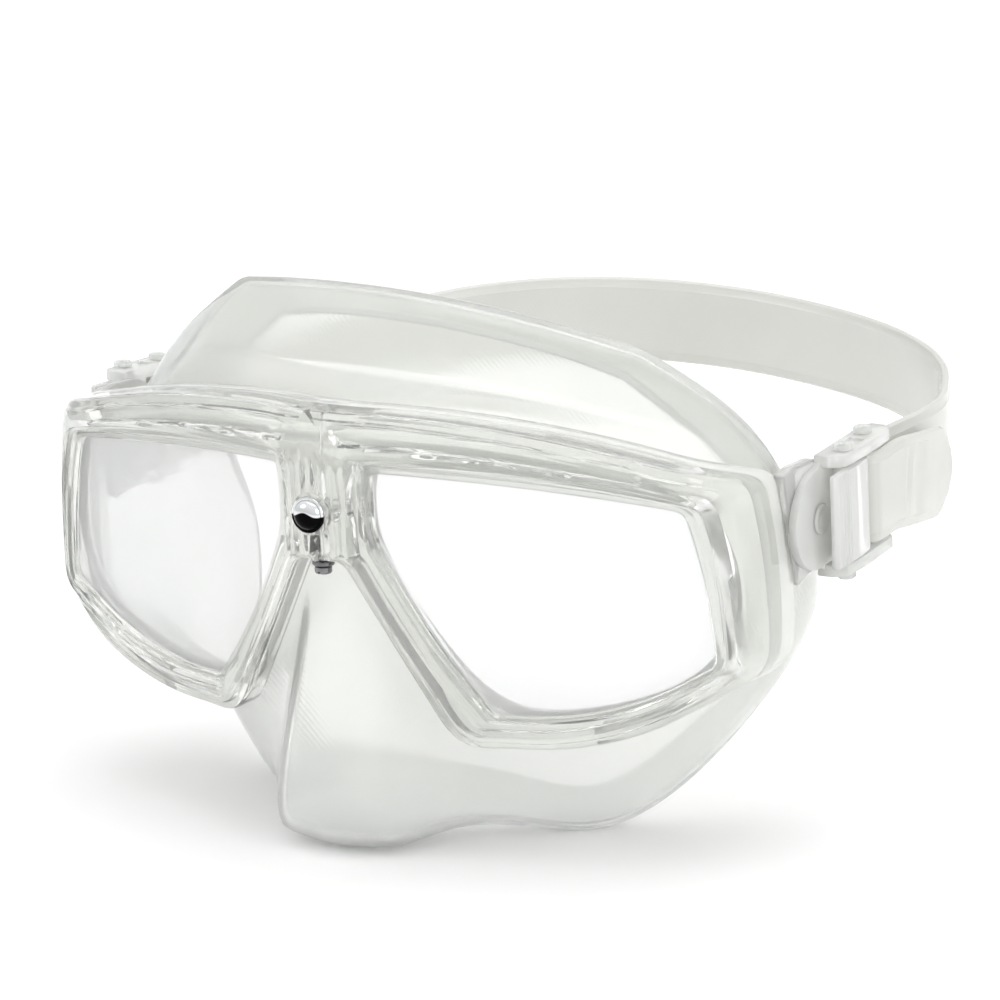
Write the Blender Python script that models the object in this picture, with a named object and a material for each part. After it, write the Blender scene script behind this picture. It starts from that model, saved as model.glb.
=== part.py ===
"""Two-lens diving mask: clear frame, glass lenses, silicone skirt, swivel buckles and strap.

Every shape is laid out in millimetres in the mask's own frame: x to the wearer's left, y to the
back, z up, with the inner top corners of the two lens openings at y = 0, z = 0.  place() moves it
into the world in metres, standing on z = 0 and centred over the origin.
"""
import math

import bmesh
import bpy
from mathutils import Matrix, Vector

MM = 0.001
GAP = 0.3                     # clearance between pieces that touch

# Where the mask stands
STAND_HEIGHT = 81.0           # lens corner above the floor
LENGTH_CENTRE = 86.65         # middle of the mask's length, from the lens corners

# Lens planes: each eye's plane is swept back and leans back
PLANE_START = -3.29
SWEEP = 0.2994
LEAN = -0.099
BRIDGE_ROUND = 8.5            # the two planes blend into each other inside this half-width
WRAP_FROM = 66.0              # beyond this half-width the rim wraps round the temple
WRAP_RATE = 0.035

# Depths through the frame, measured back from the lens plane
LENS_FRONT = 0.3
LENS_BACK = 4.3
RIM_BACK = 4.2
SEAT_FRACTION = 0.27          # share of the rim's width cut away behind the lens edge
LENS_FRACTION = 0.20          # share of the rim's width that covers the lens edge
SKIRT_FACE = 6.2              # middle of the skirt's front wall
SKIRT_WALL = 2.0
CLAMP_FRONT = 5.0             # rear frame
CLAMP_BACK = 10.0
CLAMP_FRACTION = 0.72

# Strap and buckle
STRAP_WIDTH = 19.5
STRAP_THICK = 2.2
PIVOT = Vector((0.0, 50.0, -10.7))
BUCKLE_TILTS = {1.0: math.radians(6.0), -1.0: math.radians(-1.0)}   # the strap lies loose
LUG_IN, LUG_OUT = 81.2, 84.1
LUG_RADIUS = 11.9
BASE_IN, BASE_OUT = 84.4, 86.2
BASE_RADIUS = 10.6
BASE_HALF = 12.5              # half-height of the base plate between the cheeks
BASE_REAR = 10.2
CHEEK_OUT = 91.2
CHEEK_INNER, CHEEK_OUTER = 10.3, 12.9
PIN_HEAD_IN, PIN_HEAD_OUT = 80.1, 87.1
PIN_HEAD_RADIUS = 3.2
CROSS_HEAD_RADIUS, CROSS_HEAD_THICK = 2.0, 1.1
HEAD_CHAMFER = 0.3
ROLLER_U, ROLLER_X = 18.6, 87.2
ROLLER_RADIUS, ROLLER_PIN, ROLLER_GAP = 2.2, 1.1, 0.18
LEVER_U, LEVER_X = 6.8, 88.4
LEVER_PIN, LEVER_SIDE_GAP = 1.0, 0.48
SWIVEL_RADIUS = 2.0

# Bridge clamp
BUTTON_Z = -8.4
BUTTON_RADIUS = 3.4
BARREL_RADIUS = 2.2
BOSS_FRONT = -6.2
SCREW_Y = -1.2
SCREW_RADIUS = 0.9

SIDES = (("left", 1.0), ("right", -1.0))

# Corners of one eye's opening and of one half of the frame, seen from the front:
# (x, z, rounding, bulge of the edge that follows, points along that edge, square corner)
LENS_CORNERS = (
    (11.0, 0.3, 2.0, 0.7, 8, False),
    (72.2, -4.6, 4.5, 0.8, 4, False),
    (77.4, -36.6, 4.0, 3.6, 7, False),
    (33.0, -48.8, 5.0, 1.4, 5, False),
    (12.3, -17.0, 3.0, 0.0, 1, False),
    (10.9, -10.5, 3.0, 0.0, 2, False),
)
FRAME_CORNERS = (
    (0.0, 13.6, 4.0, 2.6, 8, True),
    (82.0, 1.6, 4.5, 0.6, 4, False),
    (83.6, -41.0, 7.0, 4.2, 7, False),
    (27.0, -58.6, 8.0, 0.0, 5, False),
    (5.2, -18.7, 2.0, 0.0, 1, False),
    (0.0, -18.6, 1.2, 0.0, 2, True),
)
CORNER_STEPS = 4

# Silicone skirt: its front stations round one half, as (frame x, z) and (lens x, z)
SKIRT_OUTER = ((0, 13.5), (20, 12.8), (38, 10.8), (62, 6.5), (80, 1), (84, -18), (82, -40),
               (66, -51.5), (48, -57), (28, -58.5), (18, -47), (9, -31), (0, -19), (0, -4))
SKIRT_HOLE = ((12.5, -0.5), (26, 0), (40, -1.5), (60, -4.5), (72, -6.5), (75.5, -18), (76, -33),
              (65, -41.5), (49, -46), (35, -47.5), (24, -36.5), (15.5, -23), (11, -13), (11, -6))
SKIRT_NECK = 0.42             # the wall leaves the front at this share of the rim's width
SKIRT_BEHIND = 13.5           # depth at which the wall clears the rear frame
# Rows of the wall from behind the frame to the face edge and its inner lip, one list per station;
# the last three stations run round the nose pocket and also give the row behind the arch
SKIRT_WALLS = (
    ((0, 17, 12), (0, 25, 15.5), (0, 32, 21.5), (0, 40, 32), (0, 45, 22)),
    ((21, 20, 12), (21, 27, 15), (21, 34, 20.5), (21, 41, 31), (19, 46, 21)),
    ((38, 25.5, 10.2), (37.5, 31.5, 13.8), (37, 37.5, 20), (36, 43.5, 28.8), (31.5, 48.5, 19)),
    ((60, 34, 6), (57, 37.5, 11), (52.5, 42, 18.5), (47, 46, 26.5), (41, 50.5, 16.5)),
    ((75, 41, -2), (74.5, 44, 1), (72.5, 46.5, 5), (68, 49, 9.5), (58.5, 53, 1.5)),
    ((78, 48, -17.5), (77.5, 53.5, -16.5), (76.8, 59, -15.5), (75.5, 65, -13.5), (65.5, 67, -17)),
    ((77, 55, -36.5), (77, 62, -36), (76.5, 70, -35), (75.5, 79, -34), (65, 79, -33)),
    ((66, 43, -49), (67, 51, -52), (67.5, 58, -54), (67, 66, -55), (59, 68, -51)),
    ((51, 36, -56), (53, 42, -63.5), (54.5, 48, -69.5), (55, 54, -74), (48, 57, -66)),
    ((32, 27, -62), (34, 32, -70), (37, 39, -79), (40, 45, -86), (35, 48, -76)),
    ((17.5, 13.5, -48), (16, 10, -60), (19, 11, -72), (22, 20, -75), (26, 33, -77), (22, 35, -69)),
    ((8.5, 8.5, -30), (9, -0.5, -54), (11, -3, -77), (13, 11, -80), (14, 27, -75), (11, 29, -67)),
    ((0, 5, -26), (0, -3, -52), (0, -6.5, -77), (0, 10, -83.0), (0, 26, -75), (0, 28, -66)),
)

# Strap centre line behind the buckle, wearer's left to right: (x, y, z)
STRAP_ROUTE = ((84.4, 86, -7.5), (84.6, 100, -7.0), (82.4, 115, -6.8), (76.8, 130, -6.4),
               (68.6, 146, -5.9), (57, 160, -5.0), (41, 171.5, -3.8), (21, 178.5, -2.4),
               (0, 181, -1.2), (-21, 178.5, -0.6), (-41, 171.5, -1.0), (-57, 160, -2.4),
               (-68.6, 146, -4.6), (-76.8, 130, -7.2), (-82.4, 115, -9.4), (-84.6, 100, -10.7),
               (-84.4, 86, -11.2))
TAIL_ENDS = {1.0: (88.6, 106.0, -10.6), -1.0: (88.6, 106.0, -13.4)}
TAIL_MIDDLES = {1.0: (90.6, 86.0, -8.7), -1.0: (90.6, 86.0, -12.0)}


def place(point):
    """Mask millimetres to world metres."""
    x, y, z = point
    return Vector((x, y - LENGTH_CENTRE, z + STAND_HEIGHT)) * MM


def clear_scene():
    for item in list(bpy.data.objects):
        bpy.data.objects.remove(item, do_unlink=True)


def finish_material(name, colour, roughness, metallic=0.0, alpha=1.0):
    found = bpy.data.materials.get(name)
    if found:
        return found
    made = bpy.data.materials.new(name)
    made.use_nodes = True
    shader = made.node_tree.nodes["Principled BSDF"]
    shader.inputs["Base Color"].default_value = (*colour, 1.0)
    shader.inputs["Roughness"].default_value = roughness
    shader.inputs["Metallic"].default_value = metallic
    shader.inputs["Alpha"].default_value = alpha
    return made


def add_node(name, mesh_data, material, pivot=None):
    """Turn a bmesh in mask millimetres into an object whose origin is at pivot."""
    origin = place(pivot) if pivot else Vector((0.0, 0.0, 0.0))
    bmesh.ops.remove_doubles(mesh_data, verts=mesh_data.verts, dist=0.001)
    for vert in mesh_data.verts:
        vert.co = place(vert.co) - origin
    bmesh.ops.recalc_face_normals(mesh_data, faces=mesh_data.faces)
    mesh = bpy.data.meshes.new(name)
    mesh_data.to_mesh(mesh)
    mesh_data.free()
    mesh.materials.append(material)
    made = bpy.data.objects.new(name, mesh)
    made.location = origin
    bpy.context.scene.collection.objects.link(made)
    return made


def add_boolean(target, other, operation):
    """Join or cut target with other, which stays as a hidden guide."""
    modifier = target.modifiers.new(operation.lower() + "_" + other.name, "BOOLEAN")
    modifier.operation = operation
    modifier.object = other
    modifier.solver = "EXACT"
    other.hide_render = True
    other.display_type = "WIRE"


def shade_round(item, angle=35.0):
    item.data.shade_smooth()
    item.data.set_sharp_from_angle(angle=math.radians(angle))


# ---------------------------------------------------------------- outlines

def rounded_outline(corners):
    """Points of a closed outline whose corners are rounded and whose edges may bulge."""
    points = []
    count = len(corners)
    for index, (x, z, rounding, bulge, steps, square) in enumerate(corners):
        before = Vector(corners[index - 1][:2])
        corner = Vector((x, z))
        after = Vector(corners[(index + 1) % count][:2])
        start = corner + (before - corner).normalized() * rounding
        end = corner + (after - corner).normalized() * rounding
        for step in range(CORNER_STEPS + 1):
            t = step / CORNER_STEPS
            if square:
                spot = start.lerp(corner, 2 * t) if t < 0.5 else corner.lerp(end, 2 * t - 1)
            else:
                spot = start * (1 - t) ** 2 + corner * (2 * t * (1 - t)) + end * t ** 2
            points.append(spot)
        next_rounding = corners[(index + 1) % count][2]
        finish = after + (corner - after).normalized() * next_rounding
        run = finish - end
        outward = Vector((-run.y, run.x)).normalized()
        for step in range(1, steps + 1):
            t = step / (steps + 1)
            points.append(end + run * t + outward * bulge * 4 * t * (1 - t))
    for _ in range(2):
        points = [spot if spot.x < 0.01 else
                  spot * 0.5 + (points[k - 1] + points[(k + 1) % len(points)]) * 0.25
                  for k, spot in enumerate(points)]
    return points


def lens_plane(x, z):
    """Distance back of the lens planes, blended round the bridge."""
    across = abs(x)
    if across < BRIDGE_ROUND:
        across = x * x / (2 * BRIDGE_ROUND) + BRIDGE_ROUND / 2
    return PLANE_START + SWEEP * across + LEAN * z


def wrap(x):
    return WRAP_RATE * max(0.0, abs(x) - WRAP_FROM) ** 2


def rim_point(inner, outer, fraction, depth):
    """A point between the lens opening and the frame's outline, at a depth from the lens plane."""
    spot = inner.lerp(outer, fraction)
    x = 0.0 if outer.x == 0.0 and fraction == 1.0 else spot.x
    curl = wrap(x) * max(0.0, (fraction - SEAT_FRACTION) / (1.0 - SEAT_FRACTION))
    return Vector((x, lens_plane(x, spot.y) + curl + depth, spot.y))


def mirror_across_centre(mesh_data):
    """Add the wearer's right half and weld the two along x = 0."""
    geometry = mesh_data.verts[:] + mesh_data.edges[:] + mesh_data.faces[:]
    bmesh.ops.mirror(mesh_data, geom=geometry, axis="X", merge_dist=0.002)


# ---------------------------------------------------------------- frame

def rim_section():
    """Front frame across the rim, as (fraction of the rim's width, depth), right round."""
    return (
        (0.00, -1.5), (0.12, -2.3), (0.36, -4.4), (0.64, -4.4), (0.90, -3.2), (1.00, -2.2),
        (1.00, RIM_BACK), (CLAMP_FRACTION, RIM_BACK), (SEAT_FRACTION, RIM_BACK), (SEAT_FRACTION, 0.0),
        (0.00, 0.0),
    )


def build_front_frame():
    """Clear front frame: two stepped rims joined by the bridge, each with a seat for its lens."""
    mesh_data = bmesh.new()
    inner = rounded_outline(LENS_CORNERS)
    outer = rounded_outline(FRAME_CORNERS)
    section = rim_section()
    rings = []
    for fraction, depth in section:
        rings.append([mesh_data.verts.new(rim_point(a, b, fraction, depth))
                      for a, b in zip(inner, outer)])
    count = len(inner)
    for row in range(len(section)):
        here, there = rings[row], rings[(row + 1) % len(section)]
        outer_wall = section[row][0] == 1.0 and section[(row + 1) % len(section)][0] == 1.0
        for k in range(count):
            n = (k + 1) % count
            if outer_wall and outer[k].x == 0.0 and outer[n].x == 0.0:
                continue
            mesh_data.faces.new((here[k], here[n], there[n], there[k]))
    mirror_across_centre(mesh_data)
    frame = add_node("frame_front", mesh_data,
                     finish_material("clear_frame", (0.86, 0.90, 0.92), 0.08, alpha=0.45))
    add_boolean(frame, round_guide("guide_boss", (0, BOSS_FRONT, BUTTON_Z), (0, 1.0, BUTTON_Z),
                                   4.4), "UNION")
    add_boolean(frame, round_guide("guide_barrel_bore", (0, -12, BUTTON_Z), (0, 3, BUTTON_Z),
                                   BARREL_RADIUS + GAP), "DIFFERENCE")
    add_boolean(frame, round_guide("guide_screw_bore", (0, SCREW_Y, -25), (0, SCREW_Y, BUTTON_Z),
                                   SCREW_RADIUS + GAP), "DIFFERENCE")
    add_boolean(frame, block_guide("guide_screw_window", (-1.4, -12, -17.0), (1.4, -0.2, -12.9)),
                "DIFFERENCE")
    return frame


def round_guide(name, start, end, radius):
    mesh_data = bmesh.new()
    add_rod(mesh_data, start, end, radius, 20)
    return add_node(name, mesh_data, finish_material("guide", (0.5, 0.5, 0.5), 0.5))


def block_guide(name, low, high):
    mesh_data = bmesh.new()
    add_block(mesh_data, low, high)
    return add_node(name, mesh_data, finish_material("guide", (0.5, 0.5, 0.5), 0.5))


def add_rod(mesh_data, start, end, radius, sides=16):
    """A closed round rod between two points."""
    start, end = Vector(start), Vector(end)
    along = end - start
    turn = along.to_track_quat("Z", "Y").to_matrix().to_4x4()
    matrix = Matrix.Translation((start + end) / 2) @ turn
    bmesh.ops.create_cone(mesh_data, cap_ends=True, cap_tris=False, segments=sides,
                          radius1=radius, radius2=radius, depth=along.length, matrix=matrix)


def add_block(mesh_data, low, high):
    low, high = Vector(low), Vector(high)
    size = high - low
    matrix = Matrix.Translation((low + high) / 2) @ Matrix.Diagonal((*size, 1.0))
    bmesh.ops.create_cube(mesh_data, size=1.0, matrix=matrix)


def add_plate(mesh_data, outline, low, high):
    """Extrude a closed (y, z) outline between two x values."""
    bottom = [mesh_data.verts.new((low, y, z)) for y, z in outline]
    top = [mesh_data.verts.new((high, y, z)) for y, z in outline]
    mesh_data.faces.new(bottom[::-1])
    mesh_data.faces.new(top)
    count = len(outline)
    for k in range(count):
        n = (k + 1) % count
        mesh_data.faces.new((bottom[k], bottom[n], top[n], top[k]))


def build_rear_frame():
    """Rear frame: an open ring outside the skirt's neck, with a strap lug at each temple."""
    mesh_data = bmesh.new()
    inner = rounded_outline(LENS_CORNERS)
    outer = rounded_outline(FRAME_CORNERS)
    corner = CORNER_STEPS + 1
    first = corner // 2
    last = 3 * corner + sum(c[4] for c in FRAME_CORNERS[:2]) + 4
    section = ((CLAMP_FRACTION, CLAMP_FRONT), (1.0, CLAMP_FRONT), (1.0, CLAMP_BACK),
               (CLAMP_FRACTION, CLAMP_BACK))
    columns = []
    for k in range(first, last + 1):
        a, b = inner[k], outer[k]
        if k == first:
            spots = [Vector((0.0, lens_plane(0, 0), 0.0)) for _ in section]
            for spot, (fraction, depth) in zip(spots, section):
                z = a.y + (b.y - a.y) * fraction
                spot.y = lens_plane(0.0, z) + depth
                spot.z = z
        else:
            spots = [rim_point(a, b, fraction, depth) for fraction, depth in section]
        columns.append([mesh_data.verts.new(spot) for spot in spots])
    for here, there in zip(columns, columns[1:]):
        for k in range(4):
            n = (k + 1) % 4
            mesh_data.faces.new((here[k], here[n], there[n], there[k]))
    mesh_data.faces.new(columns[-1])
    mirror_across_centre(mesh_data)
    frame = add_node("frame_rear", mesh_data,
                     finish_material("clear_rear_frame", (0.84, 0.88, 0.90), 0.10, alpha=0.45))
    for side, sign in SIDES:
        add_boolean(frame, lug_guide(side, sign), "UNION")
        hole = round_guide("guide_lug_bore_" + side, (sign * 70, PIVOT.y, PIVOT.z),
                           (sign * 95, PIVOT.y, PIVOT.z), SWIVEL_RADIUS + GAP)
        add_boolean(frame, hole, "DIFFERENCE")
    return frame


def lug_guide(side, sign):
    """Temple lug: a broad plate from the rear frame, round about the swivel pin."""
    outline = [(38.2, 0.2), (43.0, 1.2)]
    for step in range(13):
        angle = math.radians(95 - step * 15.4)
        outline.append((PIVOT.y + LUG_RADIUS * math.cos(angle),
                        PIVOT.z + LUG_RADIUS * math.sin(angle)))
    outline += [(45.5, -24.0), (44.2, -23.0)]
    mesh_data = bmesh.new()
    add_plate(mesh_data, outline, sign * LUG_IN, sign * LUG_OUT)
    return add_node("guide_lug_" + side, mesh_data, finish_material("guide", (0.5, 0.5, 0.5), 0.5))


def build_lens(side, sign):
    """Flat tempered glass, its edge lying under the front frame's lip."""
    mesh_data = bmesh.new()
    inner = rounded_outline(LENS_CORNERS)
    outer = rounded_outline(FRAME_CORNERS)
    edge = [a.lerp(b, LENS_FRACTION) for a, b in zip(inner, outer)]
    faces = []
    for depth in (LENS_FRONT, LENS_BACK):
        ring = [mesh_data.verts.new((sign * p.x, lens_plane(p.x, p.y) + depth, p.y)) for p in edge]
        faces.append(ring)
        mesh_data.faces.new(ring)
    for k in range(len(edge)):
        n = (k + 1) % len(edge)
        mesh_data.faces.new((faces[0][k], faces[0][n], faces[1][n], faces[1][k]))
    add_node("lens_" + side, mesh_data,
             finish_material("lens_glass_" + side, (0.93, 0.97, 0.95), 0.02, alpha=0.25))


# ---------------------------------------------------------------- bridge clamp

def build_button():
    """Barrel nut across the bridge, with a polished domed end showing in front."""
    mesh_data = bmesh.new()
    front = BOSS_FRONT - GAP
    profile = [(0.0, 1.2), (BARREL_RADIUS, 1.2), (BARREL_RADIUS, front), (BUTTON_RADIUS, front),
               (BUTTON_RADIUS, front - 0.7)]
    for step in range(1, 5):
        angle = math.radians(step * 22.5)
        profile.append((BUTTON_RADIUS * math.cos(angle), front - 0.7 - 1.6 * math.sin(angle)))
    profile[-1] = (0.0, front - 2.3)
    verts = [mesh_data.verts.new((r, y, BUTTON_Z)) for r, y in profile]
    edges = [mesh_data.edges.new(pair) for pair in zip(verts, verts[1:])]
    bmesh.ops.spin(mesh_data, geom=verts + edges, cent=(0, 0, BUTTON_Z), axis=(0, 1, 0),
                   angle=2 * math.pi, steps=24, use_merge=True)
    item = add_node("bridge_button", mesh_data,
                    finish_material("polished_steel_button", (0.62, 0.63, 0.65), 0.12, 1.0))
    shade_round(item)


def build_screw():
    """Clamp screw under the bridge: a slim shank up to the barrel nut and a round head below."""
    mesh_data = bmesh.new()
    add_rod(mesh_data, (0, SCREW_Y, -20.6), (0, SCREW_Y, BUTTON_Z - BARREL_RADIUS - GAP),
            SCREW_RADIUS, 14)
    screw = add_node("clamp_screw", mesh_data,
                     finish_material("screw_steel", (0.40, 0.41, 0.43), 0.25, 1.0))
    add_boolean(screw, round_guide("guide_screw_head", (0, SCREW_Y, -22.2), (0, SCREW_Y, -20.1),
                                   1.8), "UNION")
    shade_round(screw)
    ring = bmesh.new()
    add_rod(ring, (0, SCREW_Y, -19.8), (0, SCREW_Y, -18.95), 2.3, 20)
    washer = add_node("clamp_washer", ring,
                      finish_material("washer_steel", (0.50, 0.51, 0.53), 0.22, 1.0))
    add_boolean(washer, round_guide("guide_washer_bore", (0, SCREW_Y, -21), (0, SCREW_Y, -18),
                                    SCREW_RADIUS + GAP), "DIFFERENCE")
    shade_round(washer)


# ---------------------------------------------------------------- skirt

def build_skirt():
    """Silicone skirt: a front wall with two lens holes, the nose pocket, and the face edge."""
    mesh_data = bmesh.new()
    hole, neck, behind = [], [], []
    for outer, inner in zip(SKIRT_OUTER, SKIRT_HOLE):
        a, b = Vector(inner), Vector(outer)
        rows = [rim_point(a, b, share, depth) for share, depth in
                ((0.0, SKIRT_FACE), (SKIRT_NECK, SKIRT_FACE), (SKIRT_NECK, SKIRT_BEHIND))]
        if b.x == 0.0:
            rows[1].x = rows[2].x = 0.0
        for ring, spot in zip((hole, neck, behind), rows):
            ring.append(spot)
    hole = [mesh_data.verts.new(spot) for spot in hole]
    neck = [mesh_data.verts.new(spot) for spot in neck]
    count = len(hole)
    for k in range(count):
        n = (k + 1) % count
        mesh_data.faces.new((hole[k], hole[n], neck[n], neck[k]))
    columns = []
    for k, wall in enumerate(SKIRT_WALLS):
        rows = wall if len(wall) == 6 else (behind[k], *wall)
        columns.append([neck[k]] + [mesh_data.verts.new(spot) for spot in rows])
    for here, there in zip(columns, columns[1:]):
        for row in range(len(here) - 1):
            mesh_data.faces.new((here[row], here[row + 1], there[row + 1], there[row]))
    mirror_across_centre(mesh_data)
    skirt = add_node("skirt", mesh_data,
                     finish_material("clear_silicone", (0.80, 0.83, 0.81), 0.35, alpha=0.55))
    smooth = skirt.modifiers.new("soft_form", "SUBSURF")
    smooth.levels = 1
    smooth.render_levels = 1
    wall = skirt.modifiers.new("wall", "SOLIDIFY")
    wall.thickness = SKIRT_WALL * MM
    wall.offset = 0.0
    wall.use_rim = True
    shade_round(skirt, 60.0)


# ---------------------------------------------------------------- buckles

def buckle_point(x, u, v, sign):
    """A point of a buckle: x outward, u back along the strap, v up across it."""
    tilt = BUCKLE_TILTS[sign]
    y = PIVOT.y + u * math.cos(tilt) - v * math.sin(tilt)
    z = PIVOT.z + u * math.sin(tilt) + v * math.cos(tilt)
    return Vector((sign * x, y, z))


def to_buckle(mesh_data, sign):
    """Move a bmesh drawn as (x, u, v) to its place on the mask."""
    for vert in mesh_data.verts:
        vert.co = buckle_point(*vert.co, sign)


def add_prism(mesh_data, profile, low, high):
    """Extrude a closed (u, x) profile between two v values."""
    bottom = [mesh_data.verts.new((x, u, low)) for u, x in profile]
    top = [mesh_data.verts.new((x, u, high)) for u, x in profile]
    mesh_data.faces.new(bottom)
    mesh_data.faces.new(top)
    for k in range(len(profile)):
        n = (k + 1) % len(profile)
        mesh_data.faces.new((bottom[k], bottom[n], top[n], top[k]))


def cheek_guide(name, sign, edge):
    """One cheek, above (edge 1) or below (edge -1) the strap, as a (u, x) plate."""
    profile = [(1.5, BASE_IN), (24.0, BASE_IN), (25.6, 86.0), (25.6, 89.0), (23.5, 91.0),
               (11.0, CHEEK_OUT), (3.5, CHEEK_OUT - 0.6), (1.5, BASE_OUT + 1.5)]
    mesh_data = bmesh.new()
    add_prism(mesh_data, profile, *sorted((edge * CHEEK_INNER, edge * CHEEK_OUTER)))
    to_buckle(mesh_data, sign)
    return add_node(name, mesh_data, finish_material("guide", (0.5, 0.5, 0.5), 0.5))


def cross_bore_guide(name, sign, u, x, radius):
    """Cutter for a bore that runs across the buckle."""
    mesh_data = bmesh.new()
    add_rod(mesh_data, (x, u, -20), (x, u, 20), radius)
    to_buckle(mesh_data, sign)
    return add_node(name, mesh_data, finish_material("guide", (0.5, 0.5, 0.5), 0.5))


def build_buckle(side, sign):
    """Buckle body: a base plate round the swivel and two cheeks that carry the pins."""
    outline = []
    for step in range(11):
        angle = math.radians(90 + step * 18)
        outline.append((BASE_RADIUS * math.cos(angle), BASE_RADIUS * math.sin(angle)))
    outline += [(4.0, -BASE_HALF), (BASE_REAR, -BASE_HALF), (BASE_REAR, BASE_HALF), (4.0, BASE_HALF)]
    mesh_data = bmesh.new()
    add_plate(mesh_data, outline, BASE_IN, BASE_OUT)
    to_buckle(mesh_data, sign)
    clear = finish_material("clear_buckle_" + side, (0.80, 0.83, 0.82), 0.18, alpha=0.55)
    body = add_node("buckle_body_" + side, mesh_data, clear, PIVOT)
    for edge in (-1, 1):
        add_boolean(body, cheek_guide(f"guide_cheek_{side}_{edge}", sign, edge), "UNION")
    add_boolean(body, cross_bore_guide("guide_roller_bore_" + side, sign, ROLLER_U, ROLLER_X,
                                       ROLLER_PIN + GAP), "DIFFERENCE")
    add_boolean(body, cross_bore_guide("guide_lever_bore_" + side, sign, LEVER_U, LEVER_X,
                                       LEVER_PIN + GAP), "DIFFERENCE")
    add_boolean(body, round_guide("guide_swivel_bore_" + side,
                                  (sign * 80, PIVOT.y, PIVOT.z), (sign * 90, PIVOT.y, PIVOT.z),
                                  SWIVEL_RADIUS + GAP), "DIFFERENCE")


def build_swivel_pin(side, sign):
    """Headed pin through lug and buckle: the axis that the strap swings on."""
    profile = [(0.0, PIN_HEAD_IN), (PIN_HEAD_RADIUS, PIN_HEAD_IN), (PIN_HEAD_RADIUS, LUG_IN - GAP),
               (SWIVEL_RADIUS, LUG_IN - GAP), (SWIVEL_RADIUS, BASE_OUT + GAP),
               (PIN_HEAD_RADIUS, BASE_OUT + GAP), (PIN_HEAD_RADIUS, PIN_HEAD_OUT - HEAD_CHAMFER),
               (PIN_HEAD_RADIUS - HEAD_CHAMFER, PIN_HEAD_OUT), (0.0, PIN_HEAD_OUT)]
    mesh_data = bmesh.new()
    verts = [mesh_data.verts.new((sign * x, PIVOT.y, PIVOT.z + r)) for r, x in profile]
    edges = [mesh_data.edges.new(pair) for pair in zip(verts, verts[1:])]
    bmesh.ops.spin(mesh_data, geom=verts + edges, cent=PIVOT, axis=(1, 0, 0),
                   angle=2 * math.pi, steps=20, use_merge=True)
    item = add_node("swivel_pin_" + side, mesh_data,
                    finish_material("clear_pin", (0.78, 0.81, 0.80), 0.15, alpha=0.7))
    shade_round(item)


def build_cross_pin(name, side, sign, u, x, radius):
    """Pin across the buckle cheeks, with a round head outside each cheek."""
    reach = CHEEK_OUTER + GAP
    head, far = CROSS_HEAD_RADIUS, reach + CROSS_HEAD_THICK
    top = [(radius, reach), (head, reach), (head, far - HEAD_CHAMFER), (head - HEAD_CHAMFER, far),
           (0.0, far)]
    profile = [(r, -v) for r, v in top[::-1]] + top
    mesh_data = bmesh.new()
    verts = [mesh_data.verts.new((x + r, u, v)) for r, v in profile]
    edges = [mesh_data.edges.new(pair) for pair in zip(verts, verts[1:])]
    bmesh.ops.spin(mesh_data, geom=verts + edges, cent=(x, u, 0), axis=(0, 0, 1),
                   angle=2 * math.pi, steps=16, use_merge=True)
    to_buckle(mesh_data, sign)
    item = add_node(f"{name}_pin_{side}", mesh_data,
                    finish_material("clear_pin", (0.78, 0.81, 0.80), 0.15, alpha=0.7))
    shade_round(item)


def build_roller(side, sign):
    """Strap roller turning on its pin."""
    mesh_data = bmesh.new()
    half = CHEEK_INNER - GAP
    add_rod(mesh_data, (ROLLER_X, ROLLER_U, -half), (ROLLER_X, ROLLER_U, half), ROLLER_RADIUS, 20)
    to_buckle(mesh_data, sign)
    pivot = buckle_point(ROLLER_X, ROLLER_U, 0, sign)
    item = add_node("strap_roller_" + side, mesh_data,
                    finish_material("clear_roller", (0.76, 0.80, 0.79), 0.2, alpha=0.7), pivot)
    add_boolean(item, cross_bore_guide("guide_roller_hollow_" + side, sign, ROLLER_U, ROLLER_X,
                                       ROLLER_PIN + ROLLER_GAP), "DIFFERENCE")
    shade_round(item)


def build_lever(side, sign):
    """Release lever: thumb plate in front, pawl edge behind that catches the strap's teeth."""
    profile = [(-2.0, 89.6), (-2.2, 90.6), (-1.4, 91.3), (8.0, 91.6), (12.6, 91.2), (13.5, 90.3),
               (13.2, 89.7), (11.0, 89.4), (9.2, 88.6), (9.0, 87.4), (7.6, 86.5), (6.0, 86.5),
               (4.6, 87.4), (4.0, 89.2)]
    half = CHEEK_INNER - LEVER_SIDE_GAP
    mesh_data = bmesh.new()
    add_prism(mesh_data, profile, -half, half)
    to_buckle(mesh_data, sign)
    pivot = buckle_point(LEVER_X, LEVER_U, 0, sign)
    item = add_node("release_lever_" + side, mesh_data,
                    finish_material("clear_lever", (0.84, 0.87, 0.86), 0.12, alpha=0.6), pivot)
    add_boolean(item, cross_bore_guide("guide_lever_bore_in_" + side, sign, LEVER_U, LEVER_X,
                                       LEVER_PIN + GAP), "DIFFERENCE")


# ---------------------------------------------------------------- strap

def strap_half_turn(sign):
    """Centre line over one roller, from the tail's free end to the start of the inner run."""
    radius = ROLLER_RADIUS + GAP + STRAP_THICK / 2
    points = [Vector((sign * x, y, z)) for x, y, z in (TAIL_ENDS[sign], TAIL_MIDDLES[sign])]
    points.append(buckle_point(ROLLER_X + radius, ROLLER_U + 7.5, 0, sign))
    for step in range(7):
        angle = math.radians(90 + step * 30)
        points.append(buckle_point(ROLLER_X + radius * math.sin(angle),
                                   ROLLER_U + radius * math.cos(angle), 0, sign))
    points.append(buckle_point(ROLLER_X - radius, ROLLER_U + 7.5, 0, sign))
    return points


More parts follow.
